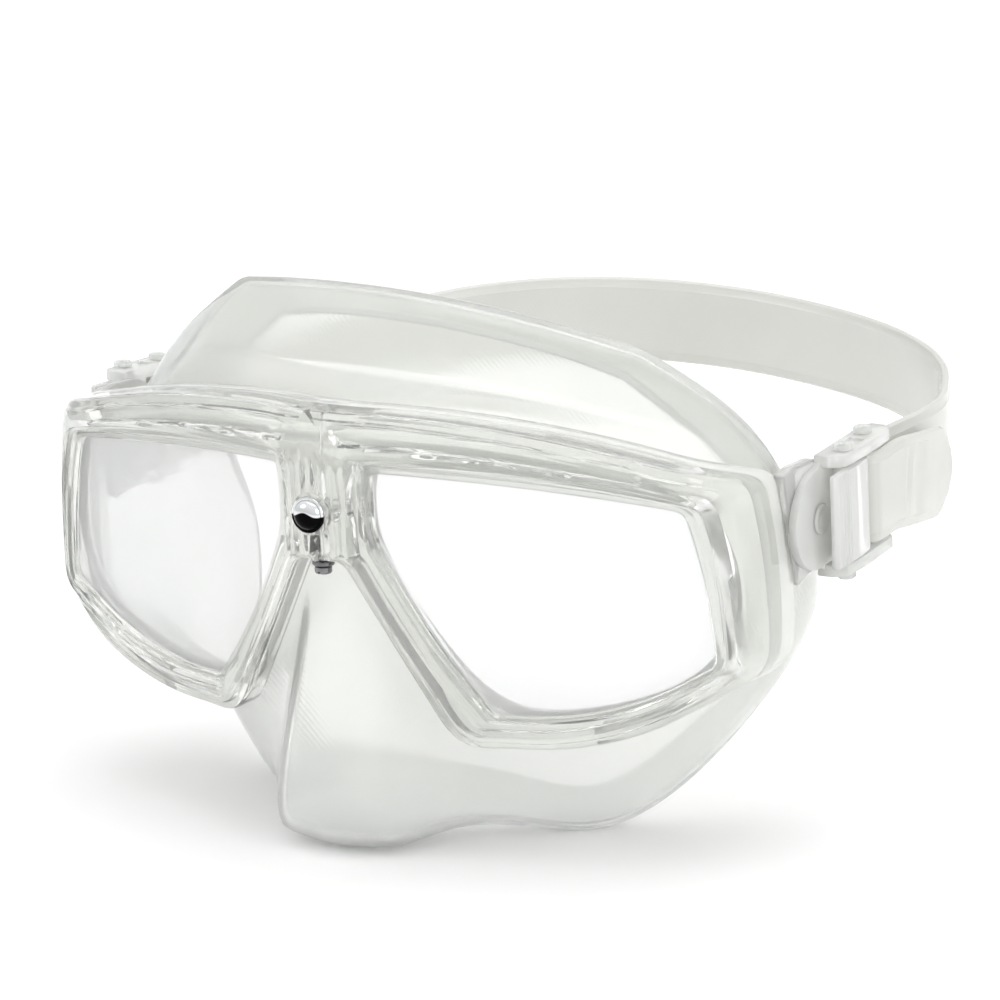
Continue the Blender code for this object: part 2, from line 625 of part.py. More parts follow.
def smooth_route(points, share):
    """Catmull-Rom points: share is how many steps each span takes."""
    route = []
    for k in range(len(points) - 1):
        p0 = points[max(k - 1, 0)]
        p1, p2 = points[k], points[k + 1]
        p3 = points[min(k + 2, len(points) - 1)]
        for step in range(share[k]):
            t = step / share[k]
            route.append(0.5 * ((2 * p1) + (p2 - p0) * t + (2 * p0 - 5 * p1 + 4 * p2 - p3) * t ** 2
                                + (3 * p1 - p0 - 3 * p2 + p3) * t ** 3))
    route.append(points[-1])
    return route


def build_strap():
    """One silicone strap: both tails turn over their rollers and lie outside the main run."""
    left = strap_half_turn(1.0)
    right = strap_half_turn(-1.0)[::-1]
    points = left + [Vector(p) for p in STRAP_ROUTE] + right
    share = [3, 2, 2] + [1] * 6 + [1] + [2] * (len(STRAP_ROUTE) + 1) + [1] + [1] * 6 + [2, 2, 3]
    route = smooth_route(points, share[:len(points) - 1])
    mesh_data = bmesh.new()
    rings = []
    for k, spot in enumerate(route):
        ahead = route[min(k + 1, len(route) - 1)] - route[max(k - 1, 0)]
        near_buckle = max(0.0, min(1.0, (105.0 - spot.y) / 30.0))
        tilt = BUCKLE_TILTS[1.0 if spot.x > 0.0 else -1.0]
        lean = Vector((0.0, -math.sin(tilt), math.cos(tilt)))
        up = Vector((0, 0, 1)).lerp(lean, near_buckle).normalized()
        ahead.normalize()
        up = (up - ahead * up.dot(ahead)).normalized()
        out = ahead.cross(up)
        half_w, half_t = STRAP_WIDTH / 2, STRAP_THICK / 2
        rings.append([mesh_data.verts.new(spot + up * a * half_w + out * b * half_t)
                      for a, b in ((1, 1), (1, -1), (-1, -1), (-1, 1))])
    for here, there in zip(rings, rings[1:]):
        for k in range(4):
            n = (k + 1) % 4
            mesh_data.faces.new((here[k], here[n], there[n], there[k]))
    mesh_data.faces.new(rings[0])
    mesh_data.faces.new(rings[-1])
    strap = add_node("strap", mesh_data,
                     finish_material("strap_silicone", (0.70, 0.70, 0.69), 0.4, alpha=0.8), PIVOT)
    shade_round(strap, 40.0)


def build():
    clear_scene()
    build_front_frame()
    build_rear_frame()
    build_button()
    build_screw()
    build_skirt()
    for side, sign in SIDES:
        build_lens(side, sign)
        build_buckle(side, sign)
        build_swivel_pin(side, sign)
        build_cross_pin("roller", side, sign, ROLLER_U, ROLLER_X, ROLLER_PIN)
        build_cross_pin("lever", side, sign, LEVER_U, LEVER_X, LEVER_PIN)
        build_roller(side, sign)
        build_lever(side, sign)
    build_strap()


build()
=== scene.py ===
"""Two-lens diving mask with a clear frame, silicone skirt and strap, built round its CAD frame."""
import math

import bmesh
import bpy
from mathutils import Matrix, Vector


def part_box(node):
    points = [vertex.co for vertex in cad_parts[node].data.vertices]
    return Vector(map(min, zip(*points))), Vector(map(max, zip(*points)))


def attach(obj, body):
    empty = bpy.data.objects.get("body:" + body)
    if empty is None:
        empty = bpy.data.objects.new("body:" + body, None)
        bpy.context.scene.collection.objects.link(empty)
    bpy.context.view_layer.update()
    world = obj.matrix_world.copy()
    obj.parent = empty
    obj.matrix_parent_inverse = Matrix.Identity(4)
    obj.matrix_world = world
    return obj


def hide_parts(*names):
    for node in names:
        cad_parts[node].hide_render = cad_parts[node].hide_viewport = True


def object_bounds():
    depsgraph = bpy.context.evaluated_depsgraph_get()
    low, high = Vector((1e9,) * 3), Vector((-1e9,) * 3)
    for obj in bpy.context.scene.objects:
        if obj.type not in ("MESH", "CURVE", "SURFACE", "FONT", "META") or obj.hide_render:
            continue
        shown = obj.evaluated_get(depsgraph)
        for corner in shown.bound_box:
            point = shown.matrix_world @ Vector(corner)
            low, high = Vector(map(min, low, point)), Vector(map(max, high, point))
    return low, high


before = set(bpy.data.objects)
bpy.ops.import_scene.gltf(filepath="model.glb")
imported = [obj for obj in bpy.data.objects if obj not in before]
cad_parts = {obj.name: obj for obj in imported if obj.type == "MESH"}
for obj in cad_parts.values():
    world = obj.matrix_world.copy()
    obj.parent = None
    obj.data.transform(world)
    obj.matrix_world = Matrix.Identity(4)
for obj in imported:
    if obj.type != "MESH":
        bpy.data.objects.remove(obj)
cad_low, cad_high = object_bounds()


# ------------------------------------------------------------------ the studio
# The mask stands on a plain white table under broad soft lamps.  The room round the table is a
# little darker than the table, so that the edges of clear plastic pick up thin grey lines.
CAMERA_TURN = math.radians(30.0)
CAMERA_RISE = math.radians(12.8)
CAMERA_DISTANCE = 0.958
CAMERA_ANGLE = math.radians(12.0)
AIM_FROM_MIDDLE = Vector((0.0311, -0.0704, 0.0195))
TABLE_HALF = 14.0
TABLE_WHITE = (0.95, 0.95, 0.945, 1.0)
LAMPS = (
    # name, place from the mask's middle, size, power
    ("top_lamp", (0.1, 0.2, 1.5), 1.8, 6.5),
    ("front_lamp", (-1.2, -1.4, 1.1), 1.0, 4.5),
    ("side_lamp", (1.6, -0.5, 0.7), 1.0, 4.5),
)

middle = (cad_low + cad_high) / 2
aim = middle + AIM_FROM_MIDDLE
toward_camera = Vector((math.sin(CAMERA_TURN) * math.cos(CAMERA_RISE),
                        -math.cos(CAMERA_TURN) * math.cos(CAMERA_RISE), math.sin(CAMERA_RISE)))
camera_data = bpy.data.cameras.new("camera")
camera_data.sensor_width = 36.0
camera_data.lens = camera_data.sensor_width / 2 / math.tan(CAMERA_ANGLE / 2)
camera_data.clip_start, camera_data.clip_end = 0.05, 60.0
camera = bpy.data.objects.new("camera", camera_data)
camera.location = aim + toward_camera * CAMERA_DISTANCE
camera.rotation_euler = toward_camera.to_track_quat("Z", "Y").to_euler()
bpy.context.scene.collection.objects.link(camera)
bpy.context.scene.camera = camera
bpy.context.scene.view_settings.view_transform = "Standard"

table_mesh = bmesh.new()
bmesh.ops.create_grid(table_mesh, x_segments=1, y_segments=1, size=TABLE_HALF)
table_data = bpy.data.meshes.new("table")
table_mesh.to_mesh(table_data)
table_mesh.free()
table = bpy.data.objects.new("table", table_data)
bpy.context.scene.collection.objects.link(table)
white = bpy.data.materials.new("white_table")
white.use_nodes = True
white_shader = white.node_tree.nodes["Principled BSDF"]
white_shader.inputs["Base Color"].default_value = TABLE_WHITE
white_shader.inputs["Roughness"].default_value = 0.9
white_shader.inputs["Specular IOR Level"].default_value = 0.1
table_data.materials.append(white)

for name, offset, size, power in LAMPS:
    lamp_data = bpy.data.lights.new(name, "AREA")
    lamp_data.shape = "DISK"
    lamp_data.size = size
    lamp_data.energy = power
    lamp = bpy.data.objects.new(name, lamp_data)
    lamp.location = middle + Vector(offset)
    lamp.rotation_euler = Vector(offset).to_track_quat("Z", "Y").to_euler()
    bpy.context.scene.collection.objects.link(lamp)

room = bpy.data.worlds.new("room")
room.use_nodes = True
bpy.context.scene.world = room
room_nodes, room_links = room.node_tree.nodes, room.node_tree.links
room_light = room_nodes["Background"]
room_light.inputs["Strength"].default_value = 1.14
heading = room_nodes.new("ShaderNodeTexCoord")
heading_parts = room_nodes.new("ShaderNodeSeparateXYZ")
room_links.new(heading.outputs["Generated"], heading_parts.inputs[0])
room_shade = room_nodes.new("ShaderNodeValToRGB")
room_links.new(heading_parts.outputs["Z"], room_shade.inputs["Fac"])
room_shade.color_ramp.elements[0].position = 0.03
room_shade.color_ramp.elements[0].color = (0.70, 0.72, 0.72, 1.0)
room_shade.color_ramp.elements[1].position = 0.70
room_shade.color_ramp.elements[1].color = (0.93, 0.93, 0.93, 1.0)
direct_look = room_nodes.new("ShaderNodeLightPath")
room_pick = room_nodes.new("ShaderNodeMix")
room_pick.data_type = "RGBA"
room_links.new(direct_look.outputs["Is Camera Ray"], room_pick.inputs["Factor"])
room_links.new(room_shade.outputs["Color"], room_pick.inputs[6])
room_pick.inputs[7].default_value = (1.15, 1.15, 1.15, 1.0)
room_links.new(room_pick.outputs[2], room_light.inputs["Color"])


# ------------------------------------------------------------------ the lenses
# Two flat panes of tempered glass, cut to the outline of each eye's opening and ground round the
# edge.  Each lies under the lip of the front frame, pressed there by the skirt.
MM = 0.001
SIDES = (("left", 1.0), ("right", -1.0))
PIN_LINE = Vector((0.0, 50.0, -10.7))      # the swivel pins' line, from the lens corners
LENS_CORNERS = (                           # (x, z, rounding, bulge of the next edge)
    (11.0, 0.3, 1.5, 0.7), (72.4, -4.5, 2.6, 0.8), (77.7, -36.8, 3.0, 3.6),
    (33.2, -50.0, 1.5, 1.3), (12.3, -17.0, 2.5, 0.0), (10.9, -10.5, 2.5, 0.0),
)
FRAME_CORNERS = (
    (0.0, 13.1, 0.6, 2.8), (82.0, 1.6, 4.5, 0.6), (83.6, -41.0, 7.0, 4.2),
    (27.0, -58.6, 8.0, 0.0), (5.2, -18.7, 2.0, 0.0), (0.0, -18.6, 1.2, 0.0),
)
EDGE_POINTS = (30, 14, 24, 19, 9, 10)      # points along the edge after each corner
CORNER_STEPS = 8
SMOOTHING_PASSES = 3
PLANE_START, SWEEP, LEAN = -3.29, 0.2994, -0.099
BRIDGE_ROUND = 8.5
LENS_SHARE = 0.20                          # share of the rim that covers the lens edge
LENS_FRONT, LENS_BACK = 0.3, 4.3
LENS_GRIND = 0.45
MERGE = 0.002                              # points nearer than this are one point
SHARP_ANGLE = 32.0                         # edges that turn by more than this stay sharp

pin_low, pin_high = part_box("swivel_pin_left")
pin_place = (pin_low + pin_high) / 2


def place(point):
    """Millimetres from the lens corners to the frame's metres."""
    x, y, z = point
    return Vector((x * MM, pin_place.y + (y - PIN_LINE.y) * MM, pin_place.z + (z - PIN_LINE.z) * MM))


def rounded_outline(corners):
    """A closed outline with rounded corners and bulging edges, as (x, z) points."""
    points = []
    for index, (x, z, rounding, bulge) in enumerate(corners):
        corner = Vector((x, z))
        before = Vector(corners[index - 1][:2])
        following = corners[(index + 1) % len(corners)]
        after = Vector(following[:2])
        start = corner + (before - corner).normalized() * rounding
        end = corner + (after - corner).normalized() * rounding
        for step in range(CORNER_STEPS + 1):
            t = step / CORNER_STEPS
            if x == 0.0:
                points.append(start.lerp(corner, 2 * t) if t < 0.5 else corner.lerp(end, 2 * t - 1))
            else:
                points.append(start * (1 - t) ** 2 + corner * (2 * t * (1 - t)) + end * t ** 2)
        finish = after + (corner - after).normalized() * following[2]
        run = finish - end
        outward = Vector((-run.y, run.x)).normalized()
        for step in range(1, EDGE_POINTS[index] + 1):
            t = step / (EDGE_POINTS[index] + 1)
            points.append(end + run * t + outward * bulge * 4 * t * (1 - t))
    for _ in range(SMOOTHING_PASSES):
        points = [spot if spot.x < 0.01 else
                  spot * 0.5 + (points[k - 1] + points[(k + 1) % len(points)]) * 0.25
                  for k, spot in enumerate(points)]
    return points


def lens_plane(x, z):
    """How far back the lens planes lie, blended into each other round the bridge."""
    across = abs(x)
    if across < BRIDGE_ROUND:
        across = x * x / (2 * BRIDGE_ROUND) + BRIDGE_ROUND / 2
    return PLANE_START + SWEEP * across + LEAN * z


def chain(mesh, points, ring):
    """Lay points down as a chain of edges, each vertex numbered by its place in the row."""
    number = mesh.verts.layers.int.get("number") or mesh.verts.layers.int.new("number")
    verts = [mesh.verts.new(point) for point in points]
    for place_in_row, vert in enumerate(verts):
        vert[number] = place_in_row
    pairs = zip(verts, verts[1:] + verts[:1]) if ring else zip(verts, verts[1:])
    return [mesh.edges.new(pair) for pair in pairs]


def pull(mesh, edges, rows):
    """Extrude a chain of edges through rows of points, and return the last row's edges."""
    number = mesh.verts.layers.int["number"]
    for row in rows:
        made = bmesh.ops.extrude_edge_only(mesh, edges=edges)["geom"]
        fresh = {item for item in made if isinstance(item, bmesh.types.BMVert)}
        for vert in fresh:
            vert.co = row[vert[number]]
        edges = [item for item in made if isinstance(item, bmesh.types.BMEdge)
                 and item.verts[0] in fresh and item.verts[1] in fresh]
    return edges


def add_piece(name, mesh, material, body, slot, *nodes, sharp=SHARP_ANGLE):
    """Turn a bmesh in mask millimetres into a finished piece that rides on a body."""
    bmesh.ops.remove_doubles(mesh, verts=mesh.verts, dist=MERGE)
    bmesh.ops.transform(mesh, matrix=Matrix.Diagonal((MM, MM, MM, 1.0)), verts=mesh.verts)
    bmesh.ops.translate(mesh, vec=place((0.0, 0.0, 0.0)), verts=mesh.verts)
    bmesh.ops.recalc_face_normals(mesh, faces=mesh.faces)
    data = bpy.data.meshes.new(name)
    mesh.to_mesh(data)
    mesh.free()
    data.materials.append(material)
    data.shade_smooth()
    data.set_sharp_from_angle(angle=math.radians(sharp))
    piece = bpy.data.objects.new(name, data)
    bpy.context.scene.collection.objects.link(piece)
    if body:
        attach(piece, body)
        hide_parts(*nodes)
    return piece


def masked(tree, source, low, high, most=1.0):
    """A mask that rises from 0 to its most as a value goes from low to high."""
    node = tree.nodes.new("ShaderNodeMapRange")
    node.inputs["From Min"].default_value, node.inputs["From Max"].default_value = low, high
    node.inputs["To Max"].default_value = most
    tree.links.new(source, node.inputs["Value"])
    return node.outputs["Result"]


def tint_over(tree, mask, colour):
    """Lay another colour over a material's own where a mask says so."""
    base = tree.nodes["Principled BSDF"].inputs["Base Color"]
    mix = tree.nodes.new("ShaderNodeMix")
    mix.data_type = "RGBA"
    mix.inputs[7].default_value = (*colour, 1.0)
    tree.links.new(mask, mix.inputs["Factor"])
    tree.links.new(base.links[0].from_socket, mix.inputs[6])
    tree.links.new(mix.outputs[2], base)


def marks_group():
    """Fine handling marks: masks for hairline scratches and faint smears, and a ripple height."""
    group = bpy.data.node_groups.new("handling marks", "ShaderNodeTree")
    for label, low, high, default in (("Smear Scale", 0.0, 500.0, 40.0),
                                      ("Scratch Scale", 0.0, 5000.0, 900.0)):
        socket = group.interface.new_socket(label, in_out="INPUT", socket_type="NodeSocketFloat")
        socket.min_value, socket.max_value, socket.default_value = low, high, default
    for label in ("Smear", "Scratch", "Ripple"):
        group.interface.new_socket(label, in_out="OUTPUT", socket_type="NodeSocketFloat")
    nodes, links = group.nodes, group.links
    inlet, outlet = nodes.new("NodeGroupInput"), nodes.new("NodeGroupOutput")
    spot = nodes.new("ShaderNodeTexCoord")
    smear = nodes.new("ShaderNodeTexNoise")
    smear.inputs["Detail"].default_value = 5.0
    links.new(spot.outputs["Object"], smear.inputs["Vector"])
    links.new(inlet.outputs["Smear Scale"], smear.inputs["Scale"])
    links.new(masked(group, smear.outputs["Fac"], 0.42, 0.68), outlet.inputs["Smear"])
    stretch = nodes.new("ShaderNodeMapping")
    stretch.inputs["Rotation"].default_value = (0.4, 0.9, 0.3)
    stretch.inputs["Scale"].default_value = (1.0, 0.06, 1.0)
    links.new(spot.outputs["Object"], stretch.inputs["Vector"])
    scratch = nodes.new("ShaderNodeTexNoise")
    scratch.inputs["Detail"].default_value = 2.0
    links.new(stretch.outputs["Vector"], scratch.inputs["Vector"])
    links.new(inlet.outputs["Scratch Scale"], scratch.inputs["Scale"])
    links.new(masked(group, scratch.outputs["Fac"], 0.66, 0.72), outlet.inputs["Scratch"])
    links.new(smear.outputs["Fac"], outlet.inputs["Ripple"])
    return group


marks = marks_group()


def worn_clear(name, light, dark, roughness, rougher, ior, passing, ripple, smear_scale=40.0,
               scratched=0.4):
    """Clear material: two close tints in clouds, smears and hairlines in its gloss, and a ripple."""
    made = bpy.data.materials.new(name)
    made.use_nodes = True
    nodes, links = made.node_tree.nodes, made.node_tree.links
    shader = nodes["Principled BSDF"]
    shader.inputs["IOR"].default_value = ior
    shader.inputs["Transmission Weight"].default_value = passing
    wear = nodes.new("ShaderNodeGroup")
    wear.node_tree = marks
    wear.inputs["Smear Scale"].default_value = smear_scale
    tint = nodes.new("ShaderNodeMix")
    tint.data_type = "RGBA"
    tint.inputs[6].default_value = (*light, 1.0)
    tint.inputs[7].default_value = (*dark, 1.0)
    links.new(wear.outputs["Smear"], tint.inputs["Factor"])
    links.new(tint.outputs[2], shader.inputs["Base Color"])
    gloss = nodes.new("ShaderNodeMapRange")
    gloss.inputs["To Min"].default_value = roughness
    gloss.inputs["To Max"].default_value = rougher
    both = nodes.new("ShaderNodeMath")
    both.operation = "MULTIPLY_ADD"
    both.inputs[1].default_value = scratched
    both.use_clamp = True
    links.new(wear.outputs["Scratch"], both.inputs[0])
    links.new(wear.outputs["Smear"], both.inputs[2])
    links.new(both.outputs[0], gloss.inputs["Value"])
    links.new(gloss.outputs["Result"], shader.inputs["Roughness"])
    bump = nodes.new("ShaderNodeBump")
    bump.inputs["Distance"].default_value = ripple * MM
    bump.inputs["Strength"].default_value = 0.35
    links.new(wear.outputs["Ripple"], bump.inputs["Height"])
    links.new(bump.outputs["Normal"], shader.inputs["Normal"])
    return made


lens_glass = worn_clear("tempered_glass", (1.0, 1.0, 1.0), (0.985, 0.99, 0.99),
                        0.0, 0.03, 1.5, 0.70, 0.0, 25.0, 0.1)
lens_outline, frame_outline = rounded_outline(LENS_CORNERS), rounded_outline(FRAME_CORNERS)
lens_edge = [a.lerp(b, LENS_SHARE) for a, b in zip(lens_outline, frame_outline)]
lens_middle = sum(lens_edge, Vector((0.0, 0.0))) / len(lens_edge)
for side, sign in SIDES:
    rows = []
    for inset, depth in ((LENS_GRIND, LENS_FRONT), (0.0, LENS_FRONT + LENS_GRIND),
                         (0.0, LENS_BACK - LENS_GRIND), (LENS_GRIND, LENS_BACK)):
        row = []
        for spot in lens_edge:
            near = spot + (lens_middle - spot).normalized() * inset
            row.append(Vector((sign * near.x, lens_plane(near.x, near.y) + depth, near.y)))
        rows.append(row)
    lens_mesh = bmesh.new()
    front_ring = chain(lens_mesh, rows[0], True)
    back_ring = pull(lens_mesh, front_ring, rows[1:])
    bmesh.ops.contextual_create(lens_mesh, geom=front_ring)
    bmesh.ops.contextual_create(lens_mesh, geom=back_ring)
    add_piece(side + "_pane", lens_mesh, lens_glass, "mask", "lens_glass", "lens_" + side, sharp=20.0)


# ------------------------------------------------------------------ the front frame
# One clear polycarbonate moulding: a stepped lip round each lens, a raised crown, a sunk channel
# in the brow bar either side of the bridge, and upright flutes down the bridge.
SEAT_SHARE, CLAMP_SHARE = 0.27, 0.72
RIM_BACK = 4.2
WRAP_FROM, WRAP_RATE = 66.0, 0.035
FULL_WIDTH = 8.6                       # a narrower rim squeezes its steps together
LIP_STOPS = (0.0, 0.06, 0.2, 0.42, 0.9, 1.35, 1.5, 1.65, 1.8, 2.0, 2.6, 3.05, 3.2, 3.35, 3.5, 3.7,
             4.2, 4.8)
EDGE_STOPS = (3.4, 2.9, 2.5, 2.3, 2.15, 2.0, 1.85, 1.4, 0.9, 0.5, 0.3, 0.14, 0.05, 0.0)
MIDDLE_ROWS = 12
LIP_FOOT, EDGE_FOOT = 1.15, 2.1        # heights that the moulded steps rise from
LIP_STEPS = ((0.5, 0.0, 0.42), (0.85, 1.35, 1.8), (0.3, 1.8, 3.1), (1.15, 3.1, 3.6),
             (0.55, 3.6, 5.4))         # (rise, from, to) outward from the lens
EDGE_STEPS = ((0.9, 0.0, 0.4), (0.4, 0.4, 1.9), (0.8, 1.85, 2.3), (0.3, 2.3, 3.6))
BAR_TOP, BAR_END = (13.6, 12.0, 10.4), 82.0           # (start, fall, bulge) along the brow bar
BAR_LOW, BAR_LOW_START, BAR_LOW_RUN = (0.3, 4.9, 2.8), 11.0, 61.2
CHANNEL_START, CHANNEL_END = 7.8, 63.0
CHANNEL_HEIGHT, CHANNEL_HALF, CHANNEL_DEPTH = 0.62, 0.175, 1.5
CHANNEL_WALL = (0.55, 0.3)             # how far its sloped side reaches in and out
BRIDGE_HALF = 11.0
FLUTE_PITCH, FLUTE_DEPTH = 2.45, 0.6
FLUTES_FOOT, FLUTES_TOP, FLUTES_SIDE = (-18.5, -15.5), (1.0, 2.8), (0.8, 3.0)
BUTTON_CLEAR = (4.2, 5.2)              # the flutes fade out round the button
CREST_HEIGHT, CREST_RISE, CREST_SIDE = 0.45, (2.6, 3.5), (0.0, 2.0)
BUTTON_Z = -8.4
BOSS_FRONT, BOSS_RADIUS = -6.2, 4.4
BARREL_RADIUS, SCREW_RADIUS, GAP = 2.2, 0.9, 0.3
SCREW_Y = -1.2
WINDOW_LOW, WINDOW_HIGH = (-1.4, -12, -17.0), (1.4, -0.2, -12.9)
SLIVER = 0.01                          # edges shorter than this are closed up after a cut


def ease(value, start, end):
    """0 before start, 1 after end, and a smooth rise between."""
    t = max(0.0, min(1.0, (value - start) / (end - start)))
    return t * t * (3 - 2 * t)


def wrap(x):
    """How far the frame curls back round the temple."""
    return WRAP_RATE * max(0.0, abs(x) - WRAP_FROM) ** 2


def rim_spot(inner, outer, share, depth):
    """A point between lens opening and frame outline, at a depth behind the lens plane."""
    spot = inner.lerp(outer, share)
    curl = wrap(spot.x) * max(0.0, (share - SEAT_SHARE) / (1.0 - SEAT_SHARE))
    x = 0.0 if outer.x == 0.0 and share == 1.0 else spot.x
    return Vector((x, lens_plane(x, spot.y) + curl + depth, spot.y))


def bowed(line, t):
    """Height along an edge that starts somewhere, falls, and bulges in between."""
    start, fall, bulge = line
    return start - fall * t + bulge * t * (1 - t)


def stepped(foot, steps, distance):
    """Height of a moulded profile: a foot, and the steps it has risen by so far."""
    height = foot
    for rise, start, end in steps:
        height += rise * ease(distance, start, end)
    return height


def brow_channel(x, z):
    """How deep the brow bar's sunk channel is at a point."""
    top = bowed(BAR_TOP, x / BAR_END)
    bottom = bowed(BAR_LOW, (x - BAR_LOW_START) / BAR_LOW_RUN)
    centre = bottom + CHANNEL_HEIGHT * (top - bottom)
    half = CHANNEL_HALF * (top - bottom)
    past = max(CHANNEL_START - x, x - CHANNEL_END, 0.0)
    off = math.hypot(past, z - centre)
    return CHANNEL_DEPTH * (1.0 - ease(off, half - CHANNEL_WALL[0], half + CHANNEL_WALL[1]))


def crown_height(x, z, from_lens, from_edge, seam):
    """How far the front frame stands in front of the lens plane."""
    height = stepped(LIP_FOOT, LIP_STEPS, from_lens)
    if not seam:
        height = min(height, stepped(EDGE_FOOT, EDGE_STEPS, from_edge))
    height -= brow_channel(abs(x), z)
    inside = BRIDGE_HALF - abs(x)
    if inside > 0.0:
        band = ease(z, *FLUTES_FOOT) * (1.0 - ease(z, *FLUTES_TOP))
        clear = ease(math.hypot(x, z - BUTTON_Z), *BUTTON_CLEAR)
        flute = 0.5 - 0.5 * math.cos(2 * math.pi * abs(x) / FLUTE_PITCH)
        height -= FLUTE_DEPTH * flute * band * clear * ease(inside, *FLUTES_SIDE)
        height += CREST_HEIGHT * ease(z, *CREST_RISE) * ease(inside, *CREST_SIDE)
    return height


def rim_rows():
    """Rows of points right round the front frame's section, each following the outline."""
    pairs = list(zip(lens_outline, frame_outline))
    stops = [("lip", stop) for stop in LIP_STOPS]
    stops += [("between", step / MIDDLE_ROWS) for step in range(1, MIDDLE_ROWS)]
    stops += [("edge", stop) for stop in EDGE_STOPS]
    rows = []
    for kind, value in stops:
        points = []
        for inner, outer in pairs:
            width = (outer - inner).length
            squeeze = min(1.0, width / FULL_WIDTH)
            first, last = LIP_STOPS[-1] * squeeze, width - EDGE_STOPS[0] * squeeze
            along = {"lip": value * squeeze, "edge": width - value * squeeze,
                     "between": first + (last - first) * value}[kind]
            share = along / width
            spot = inner.lerp(outer, share)
            height = crown_height(spot.x, spot.y, along / squeeze, (width - along) / squeeze,
                                  outer.x == 0.0)
            points.append(rim_spot(inner, outer, share, -height))
        rows.append(points)
    for share, depth in ((1.0, -0.5), (1.0, RIM_BACK - 0.45), (0.975, RIM_BACK),
                         (CLAMP_SHARE, RIM_BACK), (SEAT_SHARE, RIM_BACK), (SEAT_SHARE, 0.0),
                         (0.03, 0.0), (0.0, -0.15)):
        rows.append([rim_spot(a, b, share, depth) for a, b in pairs])
    return rows


def mirror_half(mesh):
    """Delete what lies in the centre plane and add the wearer's right half."""
    flat = [face for face in mesh.faces if all(abs(vert.co.x) < 1e-6 for vert in face.verts)]
    bmesh.ops.delete(mesh, geom=flat, context="FACES")
    geometry = mesh.verts[:] + mesh.edges[:] + mesh.faces[:]
    bmesh.ops.mirror(mesh, geom=geometry, axis="X", merge_dist=MERGE)


def rod(name, start, end, radius, sides=48):
    """A plain round rod between two points, as a tool to weld on or cut with."""
    start, end = Vector(start), Vector(end)
    turn = (end - start).to_track_quat("Z", "Y").to_matrix().to_4x4()
    mesh = bmesh.new()
    bmesh.ops.create_cone(mesh, cap_ends=True, segments=sides, radius1=radius, radius2=radius,
                          depth=(end - start).length,
                          matrix=Matrix.Translation((start + end) / 2) @ turn)
    return add_piece(name, mesh, clear_frame, None, None)


def block(name, low, high):
    """A plain block between two corners, as a tool to cut with."""
    low, high = Vector(low), Vector(high)
    mesh = bmesh.new()
    bmesh.ops.create_cube(mesh, size=1.0, matrix=Matrix.Translation((low + high) / 2)
                          @ Matrix.Diagonal((*(high - low), 1.0)))
    return add_piece(name, mesh, clear_frame, None, None)


def join_and_cut(piece, joined, cut):
    """Weld some tools onto a piece, cut others out of it, and leave one closed mesh."""
    for tool, operation in [(t, "UNION") for t in joined] + [(t, "DIFFERENCE") for t in cut]:
        modifier = piece.modifiers.new(operation.lower(), "BOOLEAN")
        modifier.operation, modifier.object, modifier.solver = operation, tool, "EXACT"
    whole = bpy.data.meshes.new_from_object(
        piece.evaluated_get(bpy.context.evaluated_depsgraph_get()))
    piece.modifiers.clear()
    piece.data = whole
    for tool in joined + cut:
        bpy.data.objects.remove(tool)
    mended = bmesh.new()
    mended.from_mesh(whole)
    bmesh.ops.triangulate(mended, faces=mended.faces)
    bmesh.ops.remove_doubles(mended, verts=mended.verts, dist=SLIVER * MM)
    bmesh.ops.dissolve_degenerate(mended, edges=mended.edges, dist=SLIVER * MM)
    bmesh.ops.recalc_face_normals(mended, faces=mended.faces)
    mended.to_mesh(whole)
    mended.free()
    whole.shade_smooth()
    whole.set_sharp_from_angle(angle=math.radians(SHARP_ANGLE))


clear_frame = worn_clear("clear_polycarbonate", (0.95, 0.957, 0.93), (0.92, 0.928, 0.90),
                         0.015, 0.10, 1.56, 0.90, 0.15, 30.0)
front_mesh = bmesh.new()
section_rows = rim_rows()
first_row = chain(front_mesh, section_rows[0], True)
last_row = pull(front_mesh, first_row, section_rows[1:])
bmesh.ops.bridge_loops(front_mesh, edges=first_row + last_row)
mirror_half(front_mesh)
front_frame = add_piece("front_frame", front_mesh, clear_frame, "mask", "clear_frame", "frame_front")
join_and_cut(front_frame,
             [rod("boss", (0, BOSS_FRONT, BUTTON_Z), (0, 1.0, BUTTON_Z), BOSS_RADIUS)],
             [rod("barrel_bore", (0, -12, BUTTON_Z), (0, 3, BUTTON_Z), BARREL_RADIUS + GAP),
              rod("screw_bore", (0, SCREW_Y, -25), (0, SCREW_Y, BUTTON_Z), SCREW_RADIUS + GAP),
              block("screw_window", WINDOW_LOW, WINDOW_HIGH)])


# ------------------------------------------------------------------ the rear frame
# A second clear moulding, an open ring round the skirt's neck that clamps the skirt against the
# front frame.  Each temple carries a thick lug plate, bored for the strap's swivel pin.
CLAMP_FRONT, CLAMP_BACK = 5.0, 10.0
CLAMP_FIRST, CLAMP_LAST = 4, 86            # where the open ring begins and ends on the outline
CLAMP_SECTION = ((0.72, 0.45), (0.735, 0.12), (0.76, 0.0), (0.95, 0.0), (0.985, 0.15), (1.0, 0.5))
LUG_IN, LUG_OUT, LUG_RADIUS = 81.2, 84.1, 11.9
LUG_ARC_START, LUG_ARC_TURN, LUG_ARC_STEPS = 95.0, -184.8, 36
SWIVEL_RADIUS = 2.0


def soften(mesh, width, angle=30.0, segments=2):
    """Round the edges of a mesh that turn by more than an angle."""
    limit = math.radians(angle)
    bmesh.ops.recalc_face_normals(mesh, faces=mesh.faces)
    edges = [edge for edge in mesh.edges if len(edge.link_faces) == 2
             and edge.calc_face_angle(0.0) > limit]
    bmesh.ops.bevel(mesh, geom=edges, offset=width, segments=segments, profile=0.5,
                    affect="EDGES", clamp_overlap=True, material=-1)


